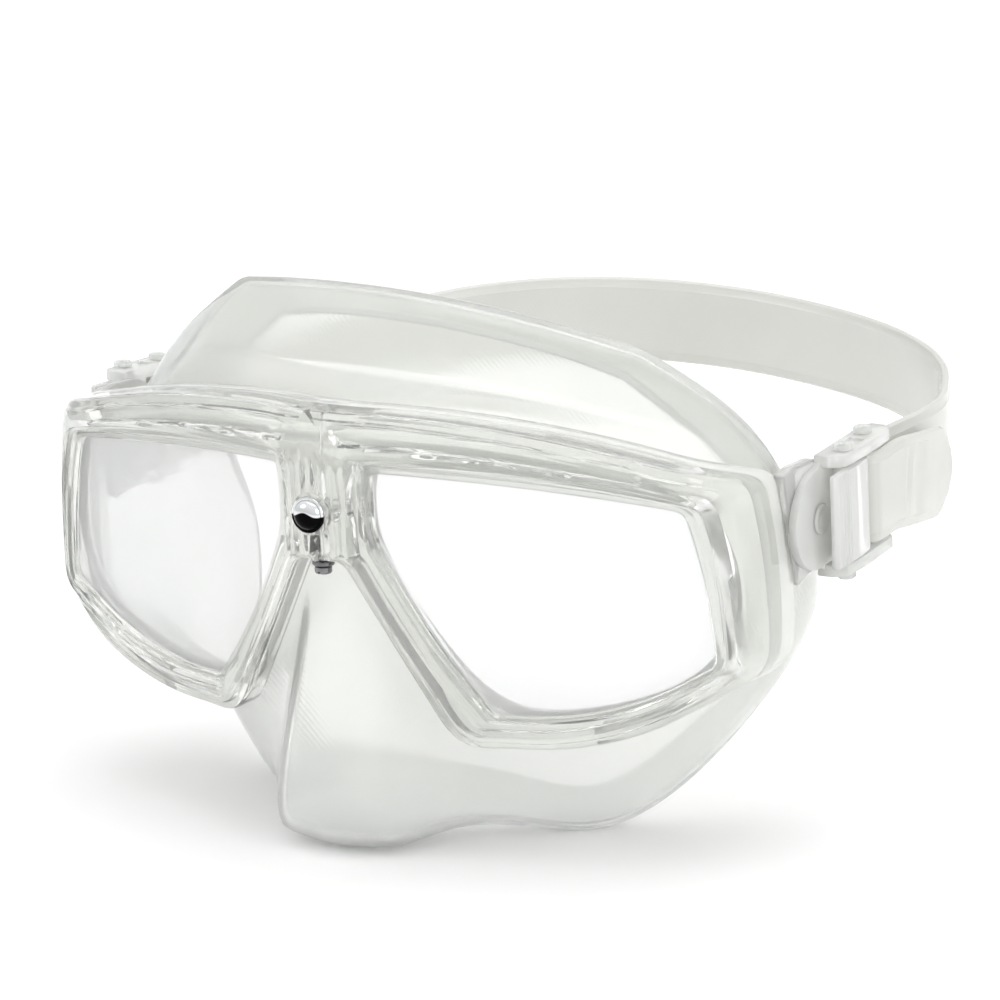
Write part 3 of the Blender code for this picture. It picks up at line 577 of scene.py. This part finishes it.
def prism(mesh, outline, shift):
    """Extrude a flat closed outline of points by a shift, into a closed body."""
    ring = chain(mesh, [Vector(point) for point in outline], True)
    made = bmesh.ops.contextual_create(mesh, geom=ring)["faces"]
    moved = bmesh.ops.extrude_face_region(mesh, geom=made, use_keep_orig=True)["geom"]
    bmesh.ops.translate(mesh, vec=shift,
                        verts=[item for item in moved if isinstance(item, bmesh.types.BMVert)])


rear_rows = []
section = [(share, CLAMP_FRONT + depth) for share, depth in CLAMP_SECTION]
section += [(share, CLAMP_BACK - depth) for share, depth in reversed(CLAMP_SECTION)]
for k in range(CLAMP_FIRST, CLAMP_LAST + 1):
    inner, outer = lens_outline[k], frame_outline[k]
    row = []
    for share, depth in section:
        spot = rim_spot(inner, outer, share, depth)
        if k == CLAMP_FIRST:
            spot = Vector((0.0, lens_plane(0.0, spot.z) + depth, spot.z))
        row.append(spot)
    rear_rows.append(row)
rear_mesh = bmesh.new()
last_ring = pull(rear_mesh, chain(rear_mesh, rear_rows[0], True), rear_rows[1:])
bmesh.ops.contextual_create(rear_mesh, geom=last_ring)
mirror_half(rear_mesh)
clear_rear = worn_clear("clear_clamp_plastic", (0.96, 0.965, 0.945), (0.93, 0.937, 0.91),
                        0.03, 0.15, 1.46, 0.68, 0.3, 55.0)
rear_frame = add_piece("rear_frame", rear_mesh, clear_rear, "mask", "clear_rear_frame", "frame_rear")
lug_outline = [(38.2, 0.2), (43.0, 1.2)]
for step in range(LUG_ARC_STEPS + 1):
    angle = math.radians(LUG_ARC_START + LUG_ARC_TURN * step / LUG_ARC_STEPS)
    lug_outline.append((PIN_LINE.y + LUG_RADIUS * math.cos(angle),
                        PIN_LINE.z + LUG_RADIUS * math.sin(angle)))
lug_outline += [(45.5, -24.0), (44.2, -23.0)]
lugs, bores = [], []
for side, sign in SIDES:
    lug_mesh = bmesh.new()
    prism(lug_mesh, [(sign * LUG_IN, y, z) for y, z in lug_outline],
          (sign * (LUG_OUT - LUG_IN), 0, 0))
    soften(lug_mesh, 0.6, 40.0, 3)
    lugs.append(add_piece(side + "_lug", lug_mesh, clear_rear, None, None))
    bores.append(rod(side + "_lug_bore", (sign * 70, PIN_LINE.y, PIN_LINE.z),
                     (sign * 95, PIN_LINE.y, PIN_LINE.z), SWIVEL_RADIUS + GAP))
join_and_cut(rear_frame, lugs, bores)


# ------------------------------------------------------------------ the skirt
# One soft moulding of clear silicone: a flat flange clamped behind the front frame, a forehead
# wall with a turned-in lip, temple and cheek walls, and a nose pocket with a ridge down each side.
SKIRT_FACE, SKIRT_NECK, SKIRT_BEHIND, SKIRT_WALL = 6.2, 0.42, 13.5, 2.0
SKIRT_HOLE_SHARE = 0.28
SKIRT_OUTER = ((0, 13.5), (20, 12.8), (38, 10.8), (62, 6.5), (80, 1), (84, -18), (82, -40),
               (66, -51.5), (48, -57), (28, -58.5), (18, -47), (9, -31), (0, -19), (0, -4))
SKIRT_HOLE = ((12.5, -0.5), (26, 0), (40, -1.5), (60, -4.5), (72, -6.5), (75.5, -18), (76, -33),
              (65, -41.5), (49, -46), (35, -47.5), (24, -36.5), (15.5, -23), (11, -13), (11, -6))
SKIRT_WALLS = (     # per station, from the frame back to the turned-in lip
    ((0, 17, 12), (0, 26, 14.3), (0, 32, 21.5), (0, 40, 32), (0, 45, 22)),
    ((21, 20, 12), (21, 28, 13.8), (21, 34, 20.5), (21, 41, 31), (19, 46, 21)),
    ((38, 25.5, 10.2), (37.5, 32.3, 12.7), (37, 37.5, 20), (36, 43.5, 28.8), (31.5, 48.5, 19)),
    ((60, 34, 6), (57, 38, 10), (52.5, 42, 18.5), (47, 46, 26.5), (41, 50.5, 16.5)),
    ((75.2, 41, -1.8), (75.5, 44, 2), (74.5, 46.5, 6.8), (70.5, 49, 11.3), (60, 53, 3)),
    ((78, 48, -17.5), (77.5, 53.5, -16.5), (76.8, 59, -15.5), (75.5, 65, -13.5), (65.5, 67, -17)),
    ((77, 55, -36.5), (77, 62, -36), (76.5, 70, -35), (75.5, 79, -34), (65, 79, -33)),
    ((66, 43, -49), (67, 51, -52), (67.5, 58, -54), (67, 66, -55), (59, 68, -51)),
    ((51, 36, -56), (53, 42, -63.5), (54.5, 48, -69.5), (55, 54, -74), (48, 57, -66)),
    ((32, 27, -62), (34, 32, -70), (37, 39, -79), (40, 45, -86), (35, 48, -76)),
    ((17.5, 13.5, -48), (16, 10, -60), (19, 11, -72), (22, 20, -75), (26, 33, -77), (22, 35, -69)),
    ((8.5, 8.5, -30), (9, -0.5, -54), (11, -3, -77), (13, 11, -80), (14, 27, -75), (11, 29, -67)),
    ((0, 5, -26), (0, -3, -52), (0, -6.5, -77), (0, 10, -83), (0, 26, -75), (0, 28, -66)),
)
SKIRT_FOLDS = {3: 1.0, 11: 0.75}           # stations whose line down the wall stays sharp
FOLD_FRONT = -6.0                          # these lines begin behind here
BROW_FOLD = 0.8                            # the crease across the forehead wall's root
BROW_END, BROW_END_FRONT = 3, 30.0         # its last station, whose line begins further back
SKIRT_SAG = 0.07                           # the soft forehead leans over to the wearer's left
SAG_BACK, SAG_UP, SAG_ACROSS = (20.0, 42.0), (-8.0, 12.0), (50.0, 75.0)
TEMPLE_FROM, TEMPLE_FULL = -50.0, -68.0    # painted light lifting the shade of the wearer's right temple wall
HEM_FROM, HEM_FULL = 38.0, 8.0             # and of the nose and cheeks toward the table


def milky_silicone(name, light, dark, passing, hatch_depth, painted_lift=None):
    """Clear silicone: milky clouds, a faint moulded hatch, skin grease in its sheen, and, if asked,
    painted light over shaded parts.
    """
    made = worn_clear(name, light, dark, 0.13, 0.26, 1.41, passing, 0.25, 35.0, 0.0)
    nodes, links = made.node_tree.nodes, made.node_tree.links
    shader, bump = nodes["Principled BSDF"], nodes["Bump"]
    spot = nodes.new("ShaderNodeTexCoord")
    # Painted light: a near-white laid over the wearer's right temple wall and the lower nose and
    # cheeks, lifting their shade.
    if painted_lift:
        parts = nodes.new("ShaderNodeSeparateXYZ")
        links.new(spot.outputs["Object"], parts.inputs[0])
        tree = made.node_tree
        temple = masked(tree, parts.outputs["X"], TEMPLE_FROM * MM, TEMPLE_FULL * MM)
        hem = masked(tree, parts.outputs["Z"], HEM_FROM * MM, HEM_FULL * MM)
        either = nodes.new("ShaderNodeMath")
        either.operation = "MAXIMUM"
        links.new(temple, either.inputs[0])
        links.new(hem, either.inputs[1])
        tint_over(tree, either.outputs[0], painted_lift)
    wave = nodes.new("ShaderNodeTexWave")
    wave.wave_type = "BANDS"
    wave.bands_direction = "DIAGONAL"
    wave.inputs["Scale"].default_value = 420.0
    wave.inputs["Distortion"].default_value = 0.6
    links.new(spot.outputs["Object"], wave.inputs["Vector"])
    hatch = nodes.new("ShaderNodeBump")
    hatch.inputs["Distance"].default_value = hatch_depth * MM
    hatch.inputs["Strength"].default_value = 0.12
    links.new(wave.outputs["Fac"], hatch.inputs["Height"])
    links.new(bump.outputs["Normal"], hatch.inputs["Normal"])
    links.new(hatch.outputs["Normal"], shader.inputs["Normal"])
    return made


# The last colour is painted light, a near-white that lifts the shade on the wearer's right temple
# wall and the lower nose and cheeks.
silicone = milky_silicone("clear_silicone", (0.90, 0.908, 0.88), (0.875, 0.885, 0.855), 0.76, 0.05,
                          (0.985, 0.99, 0.98))
hole_row, neck_row, columns = [], [], []
for k, (outer, inner) in enumerate(zip(SKIRT_OUTER, SKIRT_HOLE)):
    outer, inner = Vector(outer), Vector(inner)
    spots = [rim_spot(inner, outer, share, depth) for share, depth in
             ((SKIRT_HOLE_SHARE, SKIRT_FACE), (SKIRT_NECK, SKIRT_FACE), (SKIRT_NECK, SKIRT_BEHIND))]
    if outer.x == 0.0:
        spots[1].x = spots[2].x = 0.0
    hole_row.append(spots[0])
    neck_row.append(spots[1])
    if k < len(SKIRT_WALLS):
        wall = [Vector(point) for point in SKIRT_WALLS[k]]
        columns.append(wall if len(wall) == 6 else [spots[2]] + wall)
wall_rows = [[column[row] for column in columns] for row in range(6)]
skirt_mesh = bmesh.new()
neck_ring = pull(skirt_mesh, chain(skirt_mesh, hole_row, True), [neck_row])
number = skirt_mesh.verts.layers.int["number"]
neck_line = [edge for edge in neck_ring
             if len(SKIRT_WALLS) not in (edge.verts[0][number], edge.verts[1][number])]
pull(skirt_mesh, neck_line, wall_rows)
crease = skirt_mesh.edges.layers.float.new("crease_edge")
brow_fold = [Vector(wall[1]) for wall in SKIRT_WALLS[:BROW_END + 1]]
for edge in skirt_mesh.edges:
    a, b = edge.verts
    if all(any((vert.co - spot).length < 0.01 for spot in brow_fold) for vert in edge.verts):
        edge[crease] = BROW_FOLD
    fold = SKIRT_FOLDS.get(a[number], 0.0)
    nearest = min(a.co.y, b.co.y)
    if fold and a[number] == b[number] and edge.is_manifold and nearest > FOLD_FRONT:
        past_neck = a[number] != BROW_END or nearest > BROW_END_FRONT
        edge[crease] = max(edge[crease], fold if past_neck else 0.0)
mirror_half(skirt_mesh)
for vert in skirt_mesh.verts:
    behind = ease(vert.co.y, *SAG_BACK) * ease(vert.co.z, *SAG_UP)
    vert.co.z -= SKIRT_SAG * vert.co.x * behind * (1.0 - ease(abs(vert.co.x), *SAG_ACROSS))
skirt = add_piece("soft_skirt", skirt_mesh, silicone, "mask", "clear_silicone", "skirt", sharp=180.0)
round_form = skirt.modifiers.new("round_form", "SUBSURF")
round_form.levels = round_form.render_levels = 3
thick_wall = skirt.modifiers.new("thick_wall", "SOLIDIFY")
thick_wall.thickness, thick_wall.offset = SKIRT_WALL * MM, 0.0


# ------------------------------------------------------------------ the bridge clamp
# A polished steel barrel nut with a domed face sits in the bridge.  A slim machine screw comes up
# into it from below through a washer, and pulls the two frame mouldings together.
BUTTON_PROFILE = ((0.0, 1.2), (2.0, 1.2), (2.2, 1.0), (2.2, -6.5), (3.6, -6.5), (3.75, -6.62),
                  (3.75, -7.1), (3.65, -7.25), (3.4, -7.3), (3.35, -7.18), (3.2, -7.18),
                  (3.12, -7.4), (2.9, -7.78), (2.55, -8.16), (2.1, -8.46), (1.5, -8.66),
                  (0.8, -8.78), (0.0, -8.8))
SCREW_TIP, SCREW_HEAD_TOP, SCREW_HEAD_LOW = -10.9, -20.1, -21.7
THREAD_PITCH, THREAD_DEPTH = 0.5, 0.13
SHANK_LENGTH = 3.4                         # the plain part between the thread and the head
HEAD_RADIUS, WASHER_RADIUS = 1.8, 2.3
WASHER_BORE, WASHER_TOP, WASHER_LOW, WASHER_BEVEL = 1.2, -18.95, -19.8, 0.12


def turned(profile, axis, centre, steps=64):
    """Spin a profile of (radius, distance along the axis) pairs into a round body."""
    mesh = bmesh.new()
    axis, centre = Vector(axis), Vector(centre)
    out = Vector((0, 0, 1)) if abs(axis.z) < 0.9 else Vector((1, 0, 0))
    out = (out - axis * out.dot(axis)).normalized()
    verts = [mesh.verts.new(centre + out * radius + axis * along) for radius, along in profile]
    edges = [mesh.edges.new(pair) for pair in zip(verts, verts[1:])]
    bmesh.ops.spin(mesh, geom=verts + edges, cent=centre, axis=axis, angle=2 * math.pi,
                   steps=steps, use_merge=True)
    return mesh


def bright_steel(name, light, dark, roughness, rougher, painted_reflection=0.0, reflection_line=0.0):
    """Polished steel: fine wear in tone and gloss, and, if asked, a painted dark reflection over its
    lower part.
    """
    made = worn_clear(name, light, dark, roughness, rougher, 1.5, 0.0, 0.05, 120.0)
    nodes, links = made.node_tree.nodes, made.node_tree.links
    shader = nodes["Principled BSDF"]
    shader.inputs["Metallic"].default_value = 1.0
    if painted_reflection:
        spot = nodes.new("ShaderNodeTexCoord")
        parts = nodes.new("ShaderNodeSeparateXYZ")
        links.new(spot.outputs["Object"], parts.inputs[0])
        swell = nodes.new("ShaderNodeTexWave")
        swell.inputs["Scale"].default_value = 55.0
        links.new(spot.outputs["Object"], swell.inputs["Vector"])
        height = nodes.new("ShaderNodeMath")
        height.operation = "MULTIPLY_ADD"
        height.inputs[1].default_value = 0.9 * MM
        links.new(swell.outputs["Fac"], height.inputs[0])
        links.new(parts.outputs["Z"], height.inputs[2])
        # Painted reflection: near-black laid over the steel below a wavy line.
        below = masked(made.node_tree, height.outputs[0], reflection_line + 0.08 * MM,
                       reflection_line - 0.08 * MM, painted_reflection)
        tint_over(made.node_tree, below, (0.004, 0.004, 0.004))
    return made


# The barrel nut's dark lower half is a painted reflection: near-black below a wavy line just above
# its middle.
mirror_steel = bright_steel("mirror_steel", (0.80, 0.81, 0.82), (0.68, 0.69, 0.70), 0.05, 0.16,
                            1.0, place((0, 0, BUTTON_Z)).z + 0.75 * MM)
add_piece("barrel_nut", turned(BUTTON_PROFILE, (0, 1, 0), (0, 0, BUTTON_Z)), mirror_steel, "mask",
          "polished_steel", "bridge_button")
screw_steel = bright_steel("screw_steel", (0.34, 0.34, 0.35), (0.14, 0.14, 0.145), 0.12, 0.3)
screw_profile = [(0.0, SCREW_TIP)]
thread_count = int((SCREW_TIP - SCREW_HEAD_TOP - SHANK_LENGTH) / THREAD_PITCH)
for turn in range(thread_count):
    screw_profile.append((SCREW_RADIUS - THREAD_DEPTH, SCREW_TIP - turn * THREAD_PITCH))
    screw_profile.append((SCREW_RADIUS, SCREW_TIP - (turn + 0.5) * THREAD_PITCH))
screw_profile += [(SCREW_RADIUS, SCREW_HEAD_TOP), (HEAD_RADIUS - 0.15, SCREW_HEAD_TOP),
                  (HEAD_RADIUS, SCREW_HEAD_TOP - 0.15), (HEAD_RADIUS, SCREW_HEAD_LOW + 0.5),
                  (HEAD_RADIUS - 0.25, SCREW_HEAD_LOW + 0.15), (HEAD_RADIUS - 0.7, SCREW_HEAD_LOW),
                  (0.0, SCREW_HEAD_LOW)]
screw = add_piece("clamp_screw_turned", turned(screw_profile, (0, 0, 1), (0, SCREW_Y, 0), 48),
                  screw_steel, "mask", "screw_steel", "clamp_screw")
join_and_cut(screw, [], [block("driver_slot", (-0.3, SCREW_Y - 3, SCREW_HEAD_LOW - 1),
                               (0.3, SCREW_Y + 3, SCREW_HEAD_LOW + 0.7))])
washer_profile = ((WASHER_BORE, WASHER_TOP), (WASHER_BORE, WASHER_LOW),
                  (WASHER_RADIUS - WASHER_BEVEL, WASHER_LOW),
                  (WASHER_RADIUS, WASHER_LOW + WASHER_BEVEL),
                  (WASHER_RADIUS, WASHER_TOP - WASHER_BEVEL),
                  (WASHER_RADIUS - WASHER_BEVEL, WASHER_TOP), (WASHER_BORE, WASHER_TOP))
add_piece("spring_washer", turned(washer_profile, (0, 0, 1), (0, SCREW_Y, 0)), screw_steel, "mask",
          "screw_steel", "clamp_washer")


# ------------------------------------------------------------------ the swivel pins
# A headed plastic pin through each lug and buckle, snapped home from outside, lets the strap swing
# up and down.  Its outer head is dished.
PIN_PROFILE = ((0.0, 80.1), (2.9, 80.1), (3.2, 80.35), (3.2, 80.9), (2.0, 80.9), (2.0, 86.5),
               (3.2, 86.5), (3.2, 86.8), (2.95, 87.05), (2.5, 87.1), (2.1, 86.95), (1.2, 86.85),
               (0.0, 86.8))
pin_plastic = worn_clear("clear_pin_plastic", (0.955, 0.962, 0.94), (0.92, 0.93, 0.905), 0.05, 0.15,
                         1.42, 0.60, 0.2, 120.0)
for side, sign in SIDES:
    add_piece(side + "_swivel_pin", turned(PIN_PROFILE, (sign, 0, 0), (0, PIN_LINE.y, PIN_LINE.z)),
              pin_plastic, "mask", "clear_pin", "swivel_pin_" + side)


# ------------------------------------------------------------------ the buckles
# A moulded body turns on each swivel pin: a thin base plate, and a cheek above and below the
# strap, each with a shallow dish sunk in its outside, which hold the roller's and the lever's pins.
BUCKLE_TILTS = {1.0: math.radians(6.0), -1.0: math.radians(-1.0)}
BASE_IN, BASE_OUT, BASE_RADIUS = 84.4, 86.2, 10.6
BASE_REAR, BASE_HALF = 10.2, 12.5
BASE_SHOULDER, BASE_ARC_STEPS = 4.0, 36
CHEEK_INNER, CHEEK_OUTER = 10.3, 12.9
CHEEK_PROFILE = ((1.5, 84.4), (24.0, 84.4), (25.6, 86.0), (25.6, 89.0), (23.5, 91.0), (11.0, 91.2),
                 (3.5, 90.6), (1.5, 87.7))
CHEEK_DISH = ((11.2, 86.0), (15.0, 86.0), (15.0, 89.6), (11.2, 89.6))
DISH_DEPTH = 0.7
ROLLER_U, ROLLER_X, ROLLER_PIN = 18.6, 87.2, 1.1
LEVER_U, LEVER_X, LEVER_PIN = 6.8, 88.4, 1.0


def buckle_turn(sign):
    """Turns (outward, back along the strap, up across it) into mask millimetres."""
    tilt = BUCKLE_TILTS[sign]
    rows = ((sign, 0.0, 0.0, 0.0),
            (0.0, math.cos(tilt), -math.sin(tilt), PIN_LINE.y),
            (0.0, math.sin(tilt), math.cos(tilt), PIN_LINE.z),
            (0.0, 0.0, 0.0, 1.0))
    return Matrix(rows)


def buckle_piece(name, mesh, sign, *naming):
    """Finish a piece drawn in a buckle's own directions."""
    bmesh.ops.transform(mesh, matrix=buckle_turn(sign), verts=mesh.verts)
    return add_piece(name, mesh, *naming)


def cheek_prism(sign, outline, low, high, rounding=0.35):
    """A plate of (along, outward) corners between two heights across the strap."""
    mesh = bmesh.new()
    prism(mesh, [(x, u, low) for u, x in outline], (0, 0, high - low))
    soften(mesh, rounding, 12.0, 2)
    return buckle_piece("plate", mesh, sign, buckle_plastic, None, None)


def cross_rod(sign, u, x, radius):
    """A rod right across a buckle, as a tool to cut with."""
    start, end = (buckle_turn(sign) @ Vector((x, u, v)) for v in (-20.0, 20.0))
    return rod("cross_bore", start, end, radius)


buckle_plastic = worn_clear("buckle_plastic", (0.98, 0.983, 0.965), (0.955, 0.96, 0.94), 0.08, 0.15,
                            1.42, 0.55, 0.3, 60.0)
base_outline = []
for step in range(BASE_ARC_STEPS + 1):
    angle = math.radians(90 + step * 180 / BASE_ARC_STEPS)
    base_outline.append((BASE_RADIUS * math.cos(angle), BASE_RADIUS * math.sin(angle)))
base_outline += [(BASE_SHOULDER, -BASE_HALF), (BASE_REAR, -BASE_HALF), (BASE_REAR, BASE_HALF),
                 (BASE_SHOULDER, BASE_HALF)]
for side, sign in SIDES:
    base_mesh = bmesh.new()
    prism(base_mesh, [(BASE_IN, u, v) for u, v in base_outline], (BASE_OUT - BASE_IN, 0, 0))
    soften(base_mesh, 0.35, 40.0, 2)
    body = buckle_piece(side + "_buckle", base_mesh, sign, buckle_plastic, "strap_set",
                        "clear_buckle", "buckle_body_" + side)
    cheeks, dishes = [], []
    for edge in (-1, 1):
        cheeks.append(cheek_prism(sign, CHEEK_PROFILE, *sorted((edge * CHEEK_INNER,
                                                                edge * CHEEK_OUTER))))
        dishes.append(cheek_prism(sign, CHEEK_DISH, *sorted((edge * (CHEEK_OUTER - DISH_DEPTH),
                                                             edge * (CHEEK_OUTER + 1.0)))))
    bores = [cross_rod(sign, ROLLER_U, ROLLER_X, ROLLER_PIN + GAP),
             cross_rod(sign, LEVER_U, LEVER_X, LEVER_PIN + GAP),
             rod("swivel_bore", (sign * 80, PIN_LINE.y, PIN_LINE.z),
                 (sign * 90, PIN_LINE.y, PIN_LINE.z), SWIVEL_RADIUS + GAP)]
    join_and_cut(body, cheeks, dishes + bores)


# ------------------------------------------------------------------ the release levers
# A thumb plate rocks on a pin between the cheeks.  Its toe presses on the strap's teeth until the
# ribbed thumb end is pushed in.
LEVER_PROFILE = ((-2.0, 89.6), (-2.2, 90.6), (-1.4, 91.3), (8.0, 91.6), (12.6, 91.2), (13.5, 90.3),
                 (13.2, 89.7), (11.0, 89.4), (9.2, 88.6), (9.0, 87.4), (7.6, 86.5), (6.0, 86.5),
                 (4.6, 87.4), (4.0, 89.2))
LEVER_SIDE_GAP = 0.48
THUMB_GROOVES = (-0.4, 0.9, 2.2, 3.5)
GROOVE_RADIUS, GROOVE_X = 0.42, 91.65
lever_plastic = worn_clear("lever_plastic", (0.99, 0.99, 0.98), (0.97, 0.972, 0.96), 0.05, 0.14,
                           1.42, 0.55, 0.3, 60.0)
lever_half = CHEEK_INNER - LEVER_SIDE_GAP
for side, sign in SIDES:
    lever_mesh = bmesh.new()
    prism(lever_mesh, [(x, u, -lever_half) for u, x in LEVER_PROFILE], (0, 0, 2 * lever_half))
    soften(lever_mesh, 0.3, 20.0, 2)
    lever = buckle_piece(side + "_lever", lever_mesh, sign, lever_plastic, "lever_" + side,
                         "clear_lever", "release_lever_" + side)
    grooves = [cross_rod(sign, u, GROOVE_X, GROOVE_RADIUS) for u in THUMB_GROOVES]
    join_and_cut(lever, [], grooves + [cross_rod(sign, LEVER_U, LEVER_X, LEVER_PIN + GAP)])


# ------------------------------------------------------------------ the cross pins and rollers
# Each buckle has two plastic cross pins with headed ends, pressed through the cheeks.  The rear
# one carries a loose roller, ribbed along its length, that the strap turns round.
CROSS_HEAD, CROSS_THICK, CROSS_EDGE = 2.0, 1.1, 0.3
ROLLER_RADIUS, ROLLER_SLACK, ROLLER_RIBS, ROLLER_RIB = 2.2, 0.18, 14, 0.16
reach = CHEEK_OUTER + GAP
far = reach + CROSS_THICK
for side, sign in SIDES:
    for kind, u, x, radius in (("roller", ROLLER_U, ROLLER_X, ROLLER_PIN),
                               ("lever", LEVER_U, LEVER_X, LEVER_PIN)):
        end = [(radius, reach), (CROSS_HEAD, reach), (CROSS_HEAD, far - CROSS_EDGE),
               (CROSS_HEAD - CROSS_EDGE, far), (0.7, far), (0.5, far - 0.25), (0.0, far - 0.25)]
        profile = [(r, -v) for r, v in end[::-1]] + end
        buckle_piece(f"{side}_{kind}_pin", turned(profile, (0, 0, 1), (x, u, 0), 40), sign,
                     pin_plastic, "strap_set", "clear_pin", f"{kind}_pin_{side}")
    half = CHEEK_INNER - GAP
    bore = ROLLER_PIN + ROLLER_SLACK
    ribbed = []
    for step in range(ROLLER_RIBS * 6):
        angle = 2 * math.pi * step / (ROLLER_RIBS * 6)
        radius = ROLLER_RADIUS - ROLLER_RIB * (0.5 - 0.5 * math.cos(angle * ROLLER_RIBS))
        ribbed.append((math.cos(angle), math.sin(angle), radius))
    rows = [[Vector((ROLLER_X + c * r * k, ROLLER_U + s * r * k, v)) for c, s, r in ribbed]
            for v, k in ((-half, 0.93), (-half + 0.2, 1.0), (half - 0.2, 1.0), (half, 0.93))]
    rows += [[Vector((ROLLER_X + c * bore, ROLLER_U + s * bore, v)) for c, s, r in ribbed]
             for v in (half, -half)]
    roller_mesh = bmesh.new()
    first_ring = chain(roller_mesh, rows[0], True)
    final_ring = pull(roller_mesh, first_ring, rows[1:])
    bmesh.ops.bridge_loops(roller_mesh, edges=first_ring + final_ring)
    buckle_piece(side + "_roller", roller_mesh, sign, pin_plastic, "roller_" + side, "clear_pin",
                 "strap_roller_" + side)


# ------------------------------------------------------------------ the strap
# One silicone band with a bevelled border.  Each end passes round its roller and lies back along
# the outside, with a row of moulded teeth for the lever and a rounded tip.
STRAP_WIDTH, STRAP_THICK = 19.5, 2.2
STRAP_ROUTE = (
    (84.4, 86, -7.5), (84.6, 100, -7.0), (82.4, 115, -6.8), (76.8, 130, -6.4), (68.6, 146, -5.9),
    (57, 160, -5.0), (41, 171.5, -3.8), (21, 178.5, -2.4), (0, 181, -1.2), (-21, 178.5, -0.6),
    (-41, 171.5, -1.0), (-57, 160, -2.4), (-68.6, 146, -4.6), (-76.8, 130, -7.2),
    (-82.4, 115, -9.4), (-84.6, 100, -10.7), (-84.4, 86, -11.2),
)
TAIL_POINTS = {1.0: ((88.6, 106, -10.6), (90.6, 86, -8.7)),
               -1.0: ((88.6, 106, -13.4), (90.6, 86, -12.0))}
SPAN_STEPS = 8
BORDER, BORDER_DROP, BORDER_EDGE = 2.3, 0.42, 0.3
TOOTH_PITCH, TOOTH_HEIGHT, TIP_LENGTH = 2.0, 0.45, 8.0
TEETH_START, TEETH_END = (4.0, 6.0), (26.0, 28.0)     # from the tip
CHEEK_RUN = 7.5                            # straight run behind the roller
LEAN_END, LEAN_RUN = 105.0, 30.0           # the band takes on a buckle's tilt in front of here


def roller_turn(sign):
    """Centre line from a tail's tip, round its roller, to the start of the inner run."""
    radius = ROLLER_RADIUS + GAP + STRAP_THICK / 2
    turn = buckle_turn(sign)
    points = [Vector((sign * x, y, z)) for x, y, z in TAIL_POINTS[sign]]
    points.append(turn @ Vector((ROLLER_X + radius, ROLLER_U + CHEEK_RUN, 0)))
    for step in range(7):
        angle = math.radians(90 + step * 30)
        points.append(turn @ Vector((ROLLER_X + radius * math.sin(angle),
                                     ROLLER_U + radius * math.cos(angle), 0)))
    points.append(turn @ Vector((ROLLER_X - radius, ROLLER_U + CHEEK_RUN, 0)))
    return points


def flowing(points, steps):
    """Points along a smooth curve through others."""
    route = []
    for k in range(len(points) - 1):
        p0, p1, p2 = points[max(k - 1, 0)], points[k], points[k + 1]
        p3 = points[min(k + 2, len(points) - 1)]
        for step in range(steps):
            t = step / steps
            route.append(0.5 * ((2 * p1) + (p2 - p0) * t + (2 * p0 - 5 * p1 + 4 * p2 - p3) * t ** 2
                                + (3 * p1 - p0 - 3 * p2 + p3) * t ** 3))
    return route + [points[-1]]


strap_silicone = milky_silicone("strap_silicone", (0.80, 0.797, 0.765), (0.775, 0.77, 0.74), 0.30,
                                0.03)
line = flowing(roller_turn(1.0) + [Vector(point) for point in STRAP_ROUTE]
               + roller_turn(-1.0)[::-1], SPAN_STEPS)
lengths = [0.0]
for here, there in zip(line, line[1:]):
    lengths.append(lengths[-1] + (there - here).length)
half_wide, half_thick = STRAP_WIDTH / 2, STRAP_THICK / 2
shoulder = half_wide - BORDER
corner = ((shoulder, half_thick), (shoulder + 0.35, half_thick - BORDER_DROP * 0.5),
          (half_wide - 0.5, half_thick - BORDER_DROP), (half_wide - BORDER_EDGE / 2, 0.35),
          (half_wide, 0.0))
upper = list(corner) + [(a, -b) for a, b in corner[-2::-1]]
strap_section = ([(0.0, half_thick)] + upper + [(0.0, -half_thick)]
                 + [(-a, -b) for a, b in upper])
strap_rows = []
for k, spot in enumerate(line):
    ahead = (line[min(k + 1, len(line) - 1)] - line[max(k - 1, 0)]).normalized()
    near_buckle = max(0.0, min(1.0, (LEAN_END - spot.y) / LEAN_RUN))
    tilt = BUCKLE_TILTS[1.0 if spot.x > 0.0 else -1.0]
    lean = Vector((0.0, -math.sin(tilt), math.cos(tilt)))
    up = Vector((0, 0, 1)).lerp(lean, near_buckle).normalized()
    up = (up - ahead * up.dot(ahead)).normalized()
    out = ahead.cross(up)
    tip = min(lengths[k], lengths[-1] - lengths[k])
    short = max(0.0, 1.0 - tip / TIP_LENGTH)
    narrow = math.sqrt(max(0.02, 1.0 - short * short))
    on_tail = ease(tip, *TEETH_START) * (1.0 - ease(tip, *TEETH_END))
    tooth = TOOTH_HEIGHT * on_tail * abs(2 * ((tip / TOOTH_PITCH) % 1.0) - 1.0)
    row = []
    for across, through in strap_section:
        inset = 0.0
        if abs(through) > half_thick - 0.05 and abs(across) < shoulder + 0.1:
            inset = -tooth * math.copysign(1.0, through)
        row.append(spot + up * across * narrow + out * (through + inset))
    strap_rows.append(row)
strap_mesh = bmesh.new()
tip_ring = chain(strap_mesh, strap_rows[0], True)
other_tip = pull(strap_mesh, tip_ring, strap_rows[1:])
bmesh.ops.contextual_create(strap_mesh, geom=tip_ring)
bmesh.ops.contextual_create(strap_mesh, geom=other_tip)
add_piece("head_strap", strap_mesh, strap_silicone, "strap_set", "strap_silicone", "strap",
          sharp=24.0)
